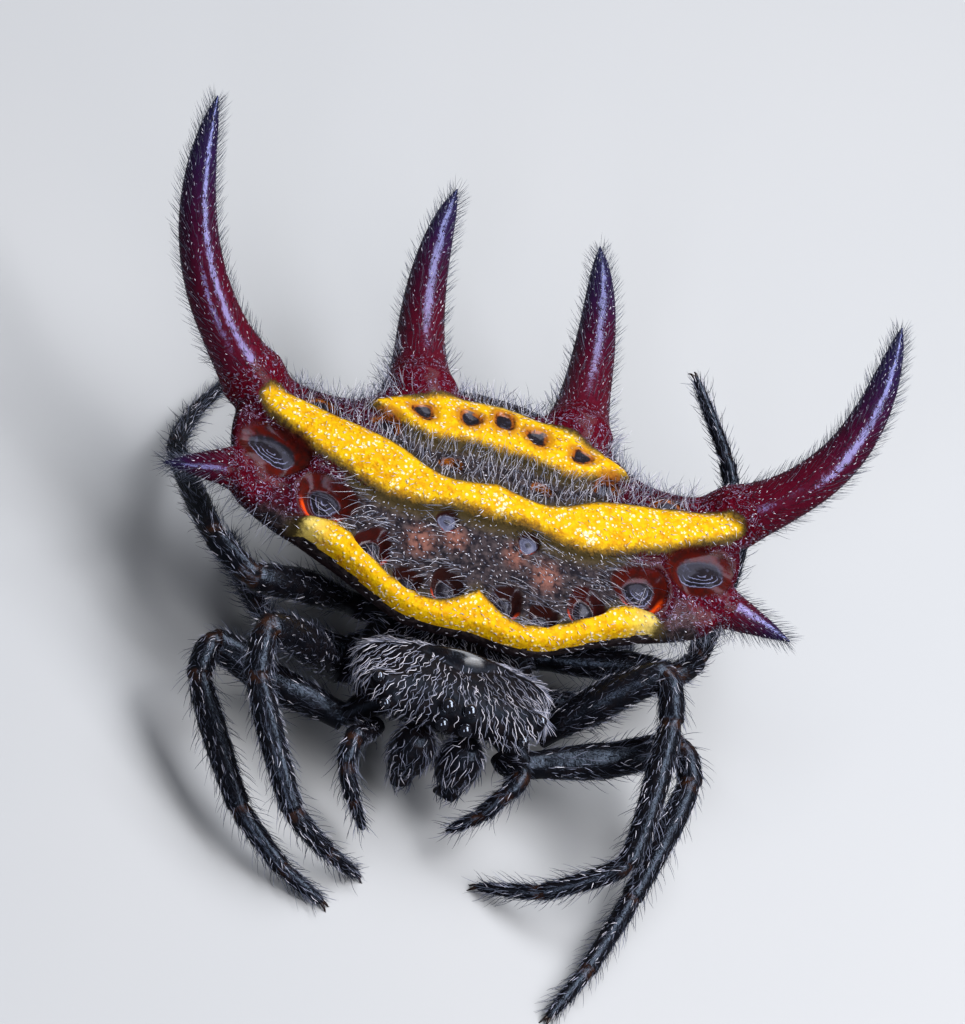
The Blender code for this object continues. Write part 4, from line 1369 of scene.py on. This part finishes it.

# %% [markdown]
# ## Pits
#
# The pits are dark and wet-looking. Those of the front row glow orange-red on their front wall,
# and those behind are rusty. At the bottom lies the plate: near the corners its rings carry painted
# glints on their front half, and in the two pits near the middle it is an even grey that is partly
# painted sheen.

# %% Pits
BOWL_DARK = (0.020, 0.0055, 0.0045)
BOWL_RED = (0.062, 0.0045, 0.0022)
EMBER = (0.72, 0.060, 0.003)
PLATE_DARK = (0.012, 0.010, 0.013)
# the plates' pale, partly painted sheen and glints
PLATE_PALE_AND_SHEEN = (0.17, 0.18, 0.29)
RING_DENSITY = 34
RING_WOBBLE = 7

in_pit = 1 - (pit + (mottle - 0.5) * 0.12).fade(0.94, 1.14)
median = to_rear.fade(-1.75, -1.65) * (1 - to_rear.fade(-0.9, -0.8))
median = (1 - side.fade(1.25, 1.35)) * median
wide = (median * 0.3).larger(to_rear.fade(*SHALLOW_BEHIND) * 0.2)
wide = wide.larger(side.fade(*WIDE_PLATES) * 0.18)
on_plate = 1 - (pit - wide + (mottle - 0.5) * 0.10).fade(0.46, 0.62)
ringed = side.fade(*RINGED_PITS)
front_row = (1 - to_rear.fade(-1.7, -1.3)) * (1 - side.fade(4.2, 4.4))
ember = pit_front.fade(0.30, 0.80) * pit.fade(0.74, 0.90) * front_row * mottle.fade(0.25, 0.50)
reddish = (side.fade(1.9, 2.2) * 0.6 + ringed * 0.4) * mottle.fade(0.2, 0.7)
bowl = skin.blend(reddish, BOWL_DARK, BOWL_RED)
rusty = to_rear.fade(0.0, 0.2) * pit.fade(0.55, 0.90) * mottle.fade(0.35, 0.60)
bowl = skin.blend(rusty, bowl, RUST)
# Painted highlights: pale ring glints on the front half of the corner pits' plates
rings = (pit * RING_DENSITY + mottle * RING_WOBBLE).wave().fade(0.70, 0.99)
rings = rings * pit_front.fade(-0.3, 0.5)
# The two middle pits get a pale plate that is partly painted sheen; faint pale mottling is the
# plate's own tone
pale = (rings * ringed).larger(median * (pit.fade(0.20, 0.44) * 0.42 + 0.05))
pale = pale.larger(mottle.fade(0.56, 0.68) * 0.15)
plate = skin.blend(pale, PLATE_DARK, PLATE_PALE_AND_SHEEN)
pit_colour = skin.blend(on_plate, skin.blend(ember, bowl, EMBER), plate)
colour = skin.blend(in_pit, colour, pit_colour)
print("Pits are mixed")

# %% [markdown]
# ## The shell's finish
#
# Last come the black belly, the gloss and the relief. The yellow and the charcoal are dull, the
# wax is smoother, and the pits have a wet coat. Grains stand on the ridges, and the wax is
# rumpled along its crinkles.

# %% The shell's finish
BELLY_BLACK = (0.012, 0.011, 0.012)
SHELL_SHINE = 0.06
COAT_ROUGHNESS = 0.16

under = skin.attribute("under")
colour = skin.blend(under, colour, skin.blend(mottle, BELLY_BLACK, WAX_DARK))

rough = (0.55 + in_band * 0.07) * (1 - in_wax) + wax_rough * in_wax
rough = rough * (1 - in_pit) + in_pit * 0.20
relief = skin.relief(in_band * (1 - grain.fade(0.0, 0.55)), 0.022, wax_relief)
relief = skin.relief((crinkles_and_painted_glints + mottle * 2) * in_wax * (1 - in_pit), 0.060, relief)
relief = skin.relief((1 - in_pit) * (1 - in_wax) * fine, 0.008, relief)
gloss = in_pit * (0.45 - on_plate * 0.25) * (1 - ringed * 0.65)
gloss = (in_wax * (1 - in_pit) * 0.11).larger(gloss) * (1 - under)
skin.finish(Base_Color=colour, Roughness=rough, Normal=relief, Specular_IOR_Level=SHELL_SHINE,
            Specular_Tint=WAX_SHEEN, Coat_Weight=gloss, Coat_Roughness=COAT_ROUGHNESS)
settle(shell, skin.material, ["abdomen"])

# %% [markdown]
# ## Black cuticle
#
# The body and legs are black, but a black that shines blue where it is smooth. Fine furrows and
# pores break the gloss, and the soft joints between a leg's tubes are a dull brown. The bare
# hump behind the head has a shiny coat. One function makes the black of face, legs and jaws.

# %% Black cuticle
BLACK = (0.0030, 0.0030, 0.0045)
BLACK_BROWN = (0.012, 0.007, 0.006)
JOINT_BROWN = (0.030, 0.012, 0.006)
BLUE_SHEEN = (0.58, 0.74, 1.0)


def black_cuticle(name, brown, gloss, level):
    """Black cuticle: its share of brown, how rough its gloss is, and how strong."""
    look = Look(name)
    mottle = look.noise(5.0, 4, 0.6)
    pores = look.cells(14.0)
    furrows = look.noise(22.0, 2)
    bare = look.attribute("bare")
    rugged = 1 + bare * 1.5
    colour = look.blend(mottle.fade(0.4, 0.8) * brown, BLACK, BLACK_BROWN)
    colour = look.blend(look.attribute("joint") * mottle.fade(0.35, 0.60), colour, JOINT_BROWN)
    normal = look.relief(mottle * rugged, 0.024)
    normal = look.relief(furrows * rugged, 0.006, normal)
    normal = look.relief((1 - pores.fade(0.0, 0.30)) * rugged, 0.006, normal)
    look.finish(Base_Color=colour, Roughness=(mottle * 0.16 + gloss) * (1 - bare * 0.5),
                Normal=normal, Specular_Tint=BLUE_SHEEN, Specular_IOR_Level=level,
                Coat_Weight=bare * 0.8, Coat_Roughness=0.14)
    return look.material


face_black = black_cuticle("face_cuticle", brown=0.8, gloss=0.30, level=0.09)
leg_black = black_cuticle("leg_cuticle", brown=0.5, gloss=0.17, level=0.34)
jaw_black = black_cuticle("jaw_cuticle", brown=1.0, gloss=0.26, level=0.24)
print("Three blacks are mixed")

# %% [markdown]
# ## Claws, eyes and the body's pieces
#
# A claw is brownish horn. An eye is a black lens under a very smooth coat, so that it shows each
# lamp as a sharp point. All the pieces of the body then leave the bench with their finishes.

# %% Claws, eyes and the body's pieces
EYE_BLACK = (0.003, 0.003, 0.005)
EYE_HAZE = (0.010, 0.009, 0.012)
claw_look = Look("claw_horn")
claw_look.finish(Base_Color=claw_look.blend(claw_look.noise(6.0), BLACK, JOINT_BROWN),
                 Roughness=0.25)
eye_look = Look("eye_lens")
haze = eye_look.noise(9.0, 2)
eye_look.finish(Base_Color=eye_look.blend(haze, EYE_BLACK, EYE_HAZE),
                Roughness=haze * 0.04 + 0.03, Specular_IOR_Level=0.8, Coat_Weight=0.8,
                Coat_Roughness=0.03, Specular_Tint=BLUE_SHEEN)
settle(head, face_black, ["prosoma"])
for node, piece in eye_pieces.items():
    settle(piece, eye_look.material, [node])
for word, piece in jaws.items():
    settle(piece, jaw_black, [f"chelicera_{word}"])
for name, piece in leg_pieces.items():
    settle(piece, leg_black, [f"{name}_{part}" for part in ("thigh", "shank", "foot")])
for word, piece in palp_pieces.items():
    settle(piece, leg_black, [f"palp_{word}"])
for piece in claw_pieces.values():
    settle(piece, claw_look.material)
settle(waist, face_black, ["pedicel"])
settle(spinnerets, face_black, ["spinnerets"])

# %% [markdown]
# ## Strands of hair
#
# Everything on this spider is hairy: the horns bristle, the legs are furred, and the carapace
# has a thin wavy fleece. A hair is a closed strand of three sides that tapers to a point, and
# thousands are gathered into one mesh, which costs little and exports as it is. Each hair takes
# a direction to lie in, an angle to stand off at, a bend and a random turn of its own. It also
# gets a small patch of the UV map, at its root's place on an unwrapped skin.

# %% Strands of hair
STRAND_SIDES = 3
ROOT_SINK = 0.25                        # how deep a hair is rooted, in its own widths
TIP_WIDTH = 0.35                        # a hair's width near its tip, as a share of the root's
PATCH = 0.003                           # size of a hair's patch on the UV map


def unit(vectors):
    """Vectors brought to a length of one."""
    return vectors / np.maximum(np.linalg.norm(vectors, axis=1), 1e-9)[:, None]


class Coat:
    """Hairs gathered into one mesh."""

    def __init__(self, name, seed):
        self.name = name
        self.draw = np.random.default_rng(seed)
        self.batches = []

    def grow(self, roots, lie, length, width, lift, bend=-0.35, sway=0.35, curl=0.5, wave=3.5,
             tone=(0.2, 0.8), darker=1.0, rings=4):
        """Add hairs at roots (places, outward directions, patches), each lying along `lie`.

        Lengths and lifts are drawn between two values, and tones too, with more dark ones the
        higher `darker` is."""
        places, out, patches = roots
        count = len(places)
        draw = self.draw
        lie = unit(lie - out * (lie * out).sum(1)[:, None])
        flank = np.cross(out, lie)
        turn = draw.normal(0, sway, count)[:, None]
        lie, flank = (lie * np.cos(turn) + flank * np.sin(turn),
                      flank * np.cos(turn) - lie * np.sin(turn))
        rise = draw.uniform(*lift, count)[:, None]
        bends = bend * draw.uniform(0.5, 1.5, count)[:, None]
        curls = draw.normal(0, curl, count)[:, None]
        phase = draw.uniform(0, 2 * np.pi, count)[:, None]
        lengths = draw.uniform(*length, count)[:, None]
        widths = width * draw.uniform(0.75, 1.2, count)[:, None]
        at = places - out * widths * ROOT_SINK
        rows = []
        for k in range(rings):
            s = k / rings
            angle = rise + bends * s
            way = lie * np.cos(angle) + out * np.sin(angle)
            way = unit(way + flank * curls * np.sin(phase + wave * s))
            first = unit(flank - way * (flank * way).sum(1)[:, None])
            second = np.cross(way, first)
            half = widths * (1 - (1 - TIP_WIDTH) * s**1.5) / 2
            for j in range(STRAND_SIDES):
                corner = 2 * np.pi * j / STRAND_SIDES
                rows.append(at + (first * np.cos(corner) + second * np.sin(corner)) * half)
            at = at + way * lengths / rings
            at[:, 2] = np.maximum(at[:, 2], FLOOR_Z + width)
        rows.append(at)
        tones = tone[0] + (tone[1] - tone[0]) * draw.uniform(0, 1, count)**darker
        self.batches.append((np.stack(rows, 1), tones, patches, rings))


print("Strands have", STRAND_SIDES, "sides")

# %% [markdown]
# ## Strands made a mesh
#
# A coat's strands become one mesh, written straight into Blender's arrays. The points come ring
# by ring with the tip last. Each point carries its hair's tone and its place along the hair.


# %% Strands made a mesh
def strand_faces(rings):
    """The faces of one strand: its closed root, its rings and its tip."""
    faces = [(0, 2, 1)]
    for k in range(rings - 1):
        for j in range(STRAND_SIDES):
            a = k * STRAND_SIDES + j
            b = k * STRAND_SIDES + (j + 1) % STRAND_SIDES
            faces.append((a, b, b + STRAND_SIDES, a + STRAND_SIDES))
    last = (rings - 1) * STRAND_SIDES
    tip = rings * STRAND_SIDES
    faces += [(last + j, last + (j + 1) % STRAND_SIDES, tip) for j in range(STRAND_SIDES)]
    return faces


def hair_mesh(coat):
    """All the hairs of a coat as one mesh."""
    parts = {key: [] for key in ("points", "tones", "places", "corners", "sizes", "uvs")}
    first = 0
    for strands, tones, patches, rings in coat.batches:
        count, size = strands.shape[:2]
        faces = strand_faces(rings)
        loop = np.concatenate(faces)
        along_hair = np.r_[np.repeat(np.arange(rings), STRAND_SIDES), rings] / rings
        spread = np.stack([along_hair, (np.arange(size) % STRAND_SIDES) / 2], 1)[loop]
        starts = first + size * np.arange(count)[:, None]
        parts["points"].append(strands.ravel())
        parts["tones"].append(np.repeat(tones, size))
        parts["places"].append(np.tile(along_hair, count))
        parts["corners"].append((loop[None] + starts).ravel())
        parts["sizes"].append(np.tile([len(face) for face in faces], count))
        parts["uvs"].append((patches[:, None] + spread[None] * PATCH).ravel())
        first += count * size
    joined = {key: np.concatenate(part) for key, part in parts.items()}
    corners = joined["corners"].astype(np.int32)
    starts = (np.cumsum(joined["sizes"]) - joined["sizes"]).astype(np.int32)
    mesh = bpy.data.meshes.new(coat.name)
    mesh.vertices.add(first)
    mesh.vertices.foreach_set("co", joined["points"])
    mesh.loops.add(len(corners))
    mesh.loops.foreach_set("vertex_index", corners)
    mesh.polygons.add(len(starts))
    mesh.polygons.foreach_set("loop_start", starts)
    mesh.update(calc_edges=True)
    mesh.uv_layers.new(name="OFBake").data.foreach_set("uv", joined["uvs"])
    obj = bpy.data.objects.new(coat.name, mesh)
    bpy.context.scene.collection.objects.link(obj)
    alone(obj)
    bpy.ops.object.shade_smooth()
    carry(obj, "tone", joined["tones"])
    carry(obj, "reach", joined["places"])
    return obj


print("A strand of 4 rings has", len(strand_faces(4)), "faces")

# %% [markdown]
# ## Roots
#
# On a skin, many random places are drawn and one is kept in each small cube of space, so that
# the roots are even but not in rows. On a rod the roots wind round it by the golden angle, which
# never lines up.

# %% Roots
DRAWN_TOO_MANY = 3                      # places drawn for each small cube's face
PLATE_START = (-9, -8)                  # the corner and the size of what the shell's map covers
PLATE_SPAN = (18, 12)
GOLDEN_ANGLE = math.pi * (3 - math.sqrt(5))


def skin_roots(obj, spacing, draw, wanted, unwrap):
    """Even roots on a settled skin, where `wanted` says so of places and outward directions."""
    mesh = obj.data
    mesh.calc_loop_triangles()
    triangles = np.empty(len(mesh.loop_triangles) * 3, np.int32)
    mesh.loop_triangles.foreach_get("vertices", triangles)
    triangles = triangles.reshape(-1, 3)
    normals = np.empty(len(mesh.vertices) * 3)
    mesh.vertices.foreach_get("normal", normals)
    normals = normals.reshape(-1, 3)
    points = points_of(obj) / MM + MIDDLE
    a, b, c = (points[triangles[:, k]] for k in range(3))
    areas = np.linalg.norm(np.cross(b - a, c - a), axis=1) / 2
    count = int(areas.sum() / spacing**2 * DRAWN_TOO_MANY)
    chosen = draw.choice(len(triangles), count, p=areas / areas.sum())
    first = np.sqrt(draw.uniform(0, 1, count))[:, None]
    second = draw.uniform(0, 1, count)[:, None]
    shares = np.concatenate([1 - first, first * (1 - second), first * second], 1)
    places = (points[triangles[chosen]] * shares[:, :, None]).sum(1)
    out = unit((normals[triangles[chosen]] * shares[:, :, None]).sum(1))
    kept = np.unique(np.floor(places / spacing).astype(int), axis=0, return_index=True)[1]
    kept = kept[wanted(places[kept], out[kept])]
    return places[kept], out[kept], unwrap(places[kept], out[kept])


def rod_roots(rod, count, start, end, draw, patch_at):
    """Even roots on a rod between two shares of its length, and the direction along it.

    patch_at is the place and the size of the rod's part of the UV map."""
    share = start + (end - start) * (np.arange(count) + draw.uniform(0, 1, count)) / count
    angles = np.arange(count) * GOLDEN_ANGLE + draw.uniform(-0.3, 0.3, count)
    places, out, way = rod.spots(share * rod.length, angles)
    turns = (angles / (2 * np.pi)) % 1
    patches = np.stack([patch_at[0] + share * patch_at[2], patch_at[1] + turns * patch_at[3]], 1)
    return (places, out, patches), way


def plate_unwrap(places, out):
    """A flat body unwrapped: its upper face on the left half of the map, its lower on the right."""
    u = 0.02 + 0.45 * (places[:, 0] - PLATE_START[0]) / PLATE_SPAN[0] + 0.5 * (out[:, 2] < 0)
    return np.stack([u, 0.02 + 0.95 * (places[:, 1] - PLATE_START[1]) / PLATE_SPAN[1]], 1)


print("Roots can be set on skins and rods")

# %% [markdown]
# ## The hair's finish
#
# All the hair shares one finish. Each hair carries a tone, which runs from blue-black over grey
# to almost white, and every hair is a little paler towards its tip.

# %% The hair's finish
HAIR_STOPS = [(0.0, (0.010, 0.010, 0.016)), (0.35, (0.055, 0.060, 0.088)),
              (0.65, (0.28, 0.29, 0.38)), (1.0, (0.82, 0.78, 0.84))]

hair_look = Look("hair")
tone = hair_look.attribute("tone")
colour = hair_look.ramp(tone + (hair_look.attribute("reach") - 0.5) * 0.12, HAIR_STOPS)
hair_look.finish(Base_Color=colour, Roughness=0.36 + tone * 0.1, Specular_Tint=BLUE_SHEEN,
                 Specular_IOR_Level=0.6)
print("Tones of hair:", len(HAIR_STOPS))

# %% [markdown]
# ## Bristles on the spines
#
# The bristles stand off the horns and lean to the tip. They are blue-black with paler ends.
# Between them are tiny thick pale ones, which look like dots.

# %% Bristles on the spines
SPINE_HAIR = {"horn": 1000, "rear_spine": 640, "front_spine": 240}
SPINE_DOTS = {"horn": 460, "rear_spine": 300, "front_spine": 100}
STRIP_STEP, STRIP_HEIGHT = 0.16, 0.13           # each spine has a strip of the UV map
bristles = Coat("bristles", 11)
for number, (node, rod) in enumerate(spine_rods.items()):
    kind = node.rsplit("_", 1)[0]
    patch_at = (0.02, 0.02 + number * STRIP_STEP, 0.94, STRIP_HEIGHT)
    roots, way = rod_roots(rod, SPINE_HAIR[kind], 0.03, 0.985, bristles.draw, patch_at)
    bristles.grow(roots, way, (0.24, 0.46), 0.0105, (0.50, 0.85), bend=-0.2, sway=0.15,
                  curl=0.12, tone=(0.0, 0.5), darker=1.5)
    roots, way = rod_roots(rod, SPINE_DOTS[kind], 0.0, 0.97, bristles.draw, patch_at)
    bristles.grow(roots, way, (0.05, 0.10), 0.021, (0.2, 0.7), tone=(0.5, 1.0), rings=2)
settle(hair_mesh(bristles), hair_look.material)

# %% [markdown]
# ## Places on the shell
#
# The shell's hair changes from place to place. To say where each kind grows, a root needs to
# know how far it is to the side, inside a yellow band, out from a pit and above the rim, and
# whether it is clear of the spines.

# %% Places on the shell
# Distance from the middle line, place along Y and reach of where a spine grows
SPINE_FEET = ((1.85, 2.65, 0.78), (5.7, 1.3, 1.0))


class ShellPlace:
    """Where roots are on the shell."""

    def __init__(self, places):
        x, self.y, z = places.T
        self.side = np.abs(x)
        self.inside = bands(x, self.y)[1]
        self.reach = pit_reach(x, self.y)[0]
        self.above = z - rim_height(self.y)
        self.clear = np.ones(len(places), bool)
        for at_x, at_y, reach in SPINE_FEET:
            self.clear &= np.hypot(self.side - at_x, self.y - at_y) > reach


def charcoal(at):
    """The skin between the ridges and the pits, but for the corners."""
    between = (at.reach > 1.05) & (at.inside < -0.02)
    return between & (at.above > -0.05) & (at.side < 3.7) & at.clear


def ridges(at):
    """The yellow bands, but for the pits in them."""
    return (at.above > -0.45) & (at.reach > 1.1) & (at.inside > 0.02)


def pit_margins(at):
    """Round the pits in front of the main band's middle."""
    near = (at.reach > 1.0) & (at.reach < 1.75) & (at.side < 3.4)
    return (at.above > -0.3) & near & (at.inside < 0.05) & (at.y < -0.2)


def rear_valley(at):
    """All that isn't yellow behind the main band."""
    behind = at.y > along(MAIN_BAND_REAR, at.side) - 0.06
    return (at.above > -0.3) & (at.reach > 0.8) & (at.inside < 0.05) & behind & at.clear


def rear_margin(at):
    """A strip along the shell's rear edge."""
    return (at.above > -0.7) & (at.y > along(REAR_EDGE, at.side) - 0.42) & at.clear


def front_wall(at):
    """The wall below the front band."""
    return (at.above > -1.1) & (at.above < -0.12) & (at.y < -0.8) & (at.inside < 0.0)


def wax_corners(at):
    """The wine-red skin at the corners, but for its pits."""
    return (at.above > -0.6) & (at.side > 3.2) & (at.reach > 1.1) & (at.inside < 0.0)


def belly(at):
    """The abdomen's sides and underside."""
    return at.above < -0.5


print("Hair grows in 8 kinds of place on the shell")

# %% [markdown]
# ## Hair on the shell
#
# Tiny thick pale hairs dot the charcoal, the ridges and the wine-red corners. Longer ones arch
# over the pits. Behind the main ridge they stand upright, a fringe stands along the rear margin,
# and another hangs in front, below the yellow rim. The corners have a few dark hairs besides,
# and the belly has short ones. Each kind is a row: its spacing, its place, the way it lies, and
# its sizes.


# %% Hair on the shell
def sideways(ahead):
    """Hair that lies away from the middle line, and as much to the front as `ahead` says."""
    return lambda places, out: np.stack([np.sign(places[:, 0]), ahead + 0 * places[:, 0],
                                         0 * places[:, 0]], 1)


def rearward(places, out):
    """Hair that lies to the rear."""
    return np.tile([0.0, 1.0, 0.0], (len(places), 1))


def hanging(places, out):
    """Hair that lies outward and down."""
    return out * (1, 1, 0) - (0, 0, 0.6)


def cornerward(places, out):
    """Hair that lies away from the shell's middle, mostly to the side."""
    return places * (1, 0.3, 0) / 5


SHELL_COATS = [
    (0.125, charcoal, sideways(-0.5), dict(length=(0.05, 0.09), width=0.027, lift=(0.2, 0.8),
                                           sway=0.6, tone=(0.45, 1.0), rings=2)),
    (0.25, ridges, sideways(-0.8), dict(length=(0.10, 0.18), width=0.020, lift=(0.2, 0.7),
                                        sway=0.5, tone=(0.7, 1.0), rings=2)),
    (0.13, pit_margins, sideways(-0.45), dict(length=(0.28, 0.56), width=0.0105, lift=(0.35, 0.8),
                                              bend=-0.8, sway=0.25, curl=0.12, tone=(0.25, 0.95),
                                              rings=5)),
    (0.125, rear_valley, rearward, dict(length=(0.28, 0.52), width=0.0125, lift=(0.7, 1.3),
                                        sway=0.5, curl=0.2, tone=(0.4, 1.0))),
    (0.14, rear_margin, rearward, dict(length=(0.36, 0.66), width=0.0135, lift=(0.6, 1.2),
                                       sway=0.6, curl=0.4, tone=(0.0, 0.9))),
    (0.19, front_wall, hanging, dict(length=(0.34, 0.64), width=0.0125, lift=(0.7, 1.2),
                                     sway=0.35, curl=0.12, tone=(0.1, 0.85))),
    (0.24, wax_corners, cornerward, dict(length=(0.18, 0.34), width=0.0105, lift=(0.35, 0.8),
                                         sway=0.5, curl=0.15, tone=(0.0, 0.3))),
    (0.21, wax_corners, cornerward, dict(length=(0.05, 0.09), width=0.024, lift=(0.2, 0.8),
                                         sway=0.6, tone=(0.4, 1.0), rings=2)),
    (0.27, belly, rearward, dict(length=(0.15, 0.32), width=0.018, lift=(0.3, 0.8),
                                 tone=(0.05, 0.45), rings=3))]

shell_hair = Coat("shell_hair", 23)
for spacing, kind_of_place, way, sizes in SHELL_COATS:
    roots = skin_roots(shell, spacing, shell_hair.draw,
                       lambda places, out: kind_of_place(ShellPlace(places)), plate_unwrap)
    shell_hair.grow(roots, way(roots[0], roots[1]), **sizes)
settle(hair_mesh(shell_hair), hair_look.material)

# %% [markdown]
# ## Hair on the head
#
# A pale wavy fleece covers the carapace and runs forward to the eyes, fanning out to the sides.
# Behind, under the shell's rim, the carapace is bare and shiny. The hair thins round the eyes
# and turns down over the face. The jaws have sparser, straighter hair.

# %% Hair on the head
BARE_EDGE = 1.15                        # no hair this close to the hump's middle, in its own reach
FLEECE_LOWEST = 2.25                    # the height at which the fleece ends
FANG_TOP = 0.55
HEAD_AXIS_Z = 1.9                       # the height of the axis the carapace is unrolled about
HEAD_START = -7                         # where its part of the map starts along Y, and its length
HEAD_SPAN = 6.5


def eye_gap(places):
    """Distance to the nearest eye's middle, in radii of that eye."""
    gaps = [np.linalg.norm(places - centre, axis=1) / radius
            for centre, radius, _ in eyes.values()]
    return np.min(gaps, axis=0)


def fleece(places, out):
    """The upper side of the carapace, but for the hump and the eyes."""
    x, y, z = places.T
    upper = (z > FLEECE_LOWEST) & (out[:, 2] > -0.2)
    return upper & (off_hump(x, y) > BARE_EDGE) & (eye_gap(places) > 1.4)


def flanks(places, out):
    """The rest of the carapace, below the fleece."""
    return (places[:, 2] <= FLEECE_LOWEST) & (eye_gap(places) > 1.5)


def off_fang(places, out):
    """A jaw without its fang."""
    return places[:, 2] > FANG_TOP


def head_unwrap(places, out):
    """The carapace unrolled round its long axis."""
    angle = np.arctan2(places[:, 0], places[:, 2] - HEAD_AXIS_Z) / (2 * np.pi) + 0.5
    ahead = places[:, 1] - HEAD_START
    return np.stack([0.02 + 0.94 * angle, 0.02 + 0.94 * ahead / HEAD_SPAN], 1)


head_hair = Coat("head_fleece", 37)
roots = skin_roots(head, 0.140, head_hair.draw, fleece, head_unwrap)
x = roots[0][:, 0]
fan = np.stack([x * 0.42, -1 + 0 * x, -0.5 + 0 * x], 1)
head_hair.grow(roots, fan, (0.30, 0.46), 0.0180, (0.12, 0.40), bend=-0.25, sway=0.13, curl=0.60,
               wave=7.0, tone=(0.45, 1.0), rings=8)
roots = skin_roots(head, 0.17, head_hair.draw, flanks, head_unwrap)
head_hair.grow(roots, roots[1] * (1, 1, 0) - (0, 0, 0.5), (0.20, 0.40), 0.020, (0.3, 0.8),
               tone=(0.10, 0.8), darker=1.5)
for jaw in jaws.values():
    roots = skin_roots(jaw, 0.13, head_hair.draw, off_fang, head_unwrap)
    head_hair.grow(roots, np.tile([0.0, -0.5, -1.0], (len(roots[0]), 1)), (0.20, 0.38), 0.020,
                   (0.2, 0.6), tone=(0.1, 0.9), darker=1.3)
settle(hair_mesh(head_hair), hair_look.material)

# %% [markdown]
# ## Hair on the legs
#
# A leg's hair is of two kinds: short thick pale ones that lie along it and catch the light, and
# long thin dark bristles that stand off. Both point to the claws. Each leg gets a coat of its
# own, and the hair keeps clear of the floor.

# %% Hair on the legs
LEG_HAIR = dict(lying=1000, standing=480)
PALP_HAIR = dict(lying=260, standing=130)
LIMB_START = 0.04                       # share of a limb's length at which its hair starts
LIMB_PATCH = (0.02, 0.02, 0.94, 0.94)   # a limb's hair has the UV map to itself


def limb_coat(name, seed, rod, end, lying, standing):
    """The coat of one leg or palp."""
    coat = Coat(name, seed)
    roots, way = rod_roots(rod, lying, LIMB_START, end, coat.draw, LIMB_PATCH)
    coat.grow(roots, way, (0.14, 0.28), 0.019, (0.15, 0.45), bend=-0.15, sway=0.3, curl=0.25,
              tone=(0.0, 1.0), darker=1.8, rings=3)
    roots, way = rod_roots(rod, standing, LIMB_START, end, coat.draw, LIMB_PATCH)
    coat.grow(roots, way, (0.26, 0.58), 0.0145, (0.45, 0.95), bend=-0.4, sway=0.3, curl=0.2,
              tone=(0.0, 0.6), darker=2.0)
    settle(hair_mesh(coat), hair_look.material)


for number, (name, rod) in enumerate(leg_rods.items()):
    limb_coat(f"hair_{name}", 50 + number, rod, 0.99, **LEG_HAIR)
for number, (word, rod) in enumerate(palp_rods.items()):
    limb_coat(f"hair_palp_{word}", 70 + number, rod, 0.98, **PALP_HAIR)
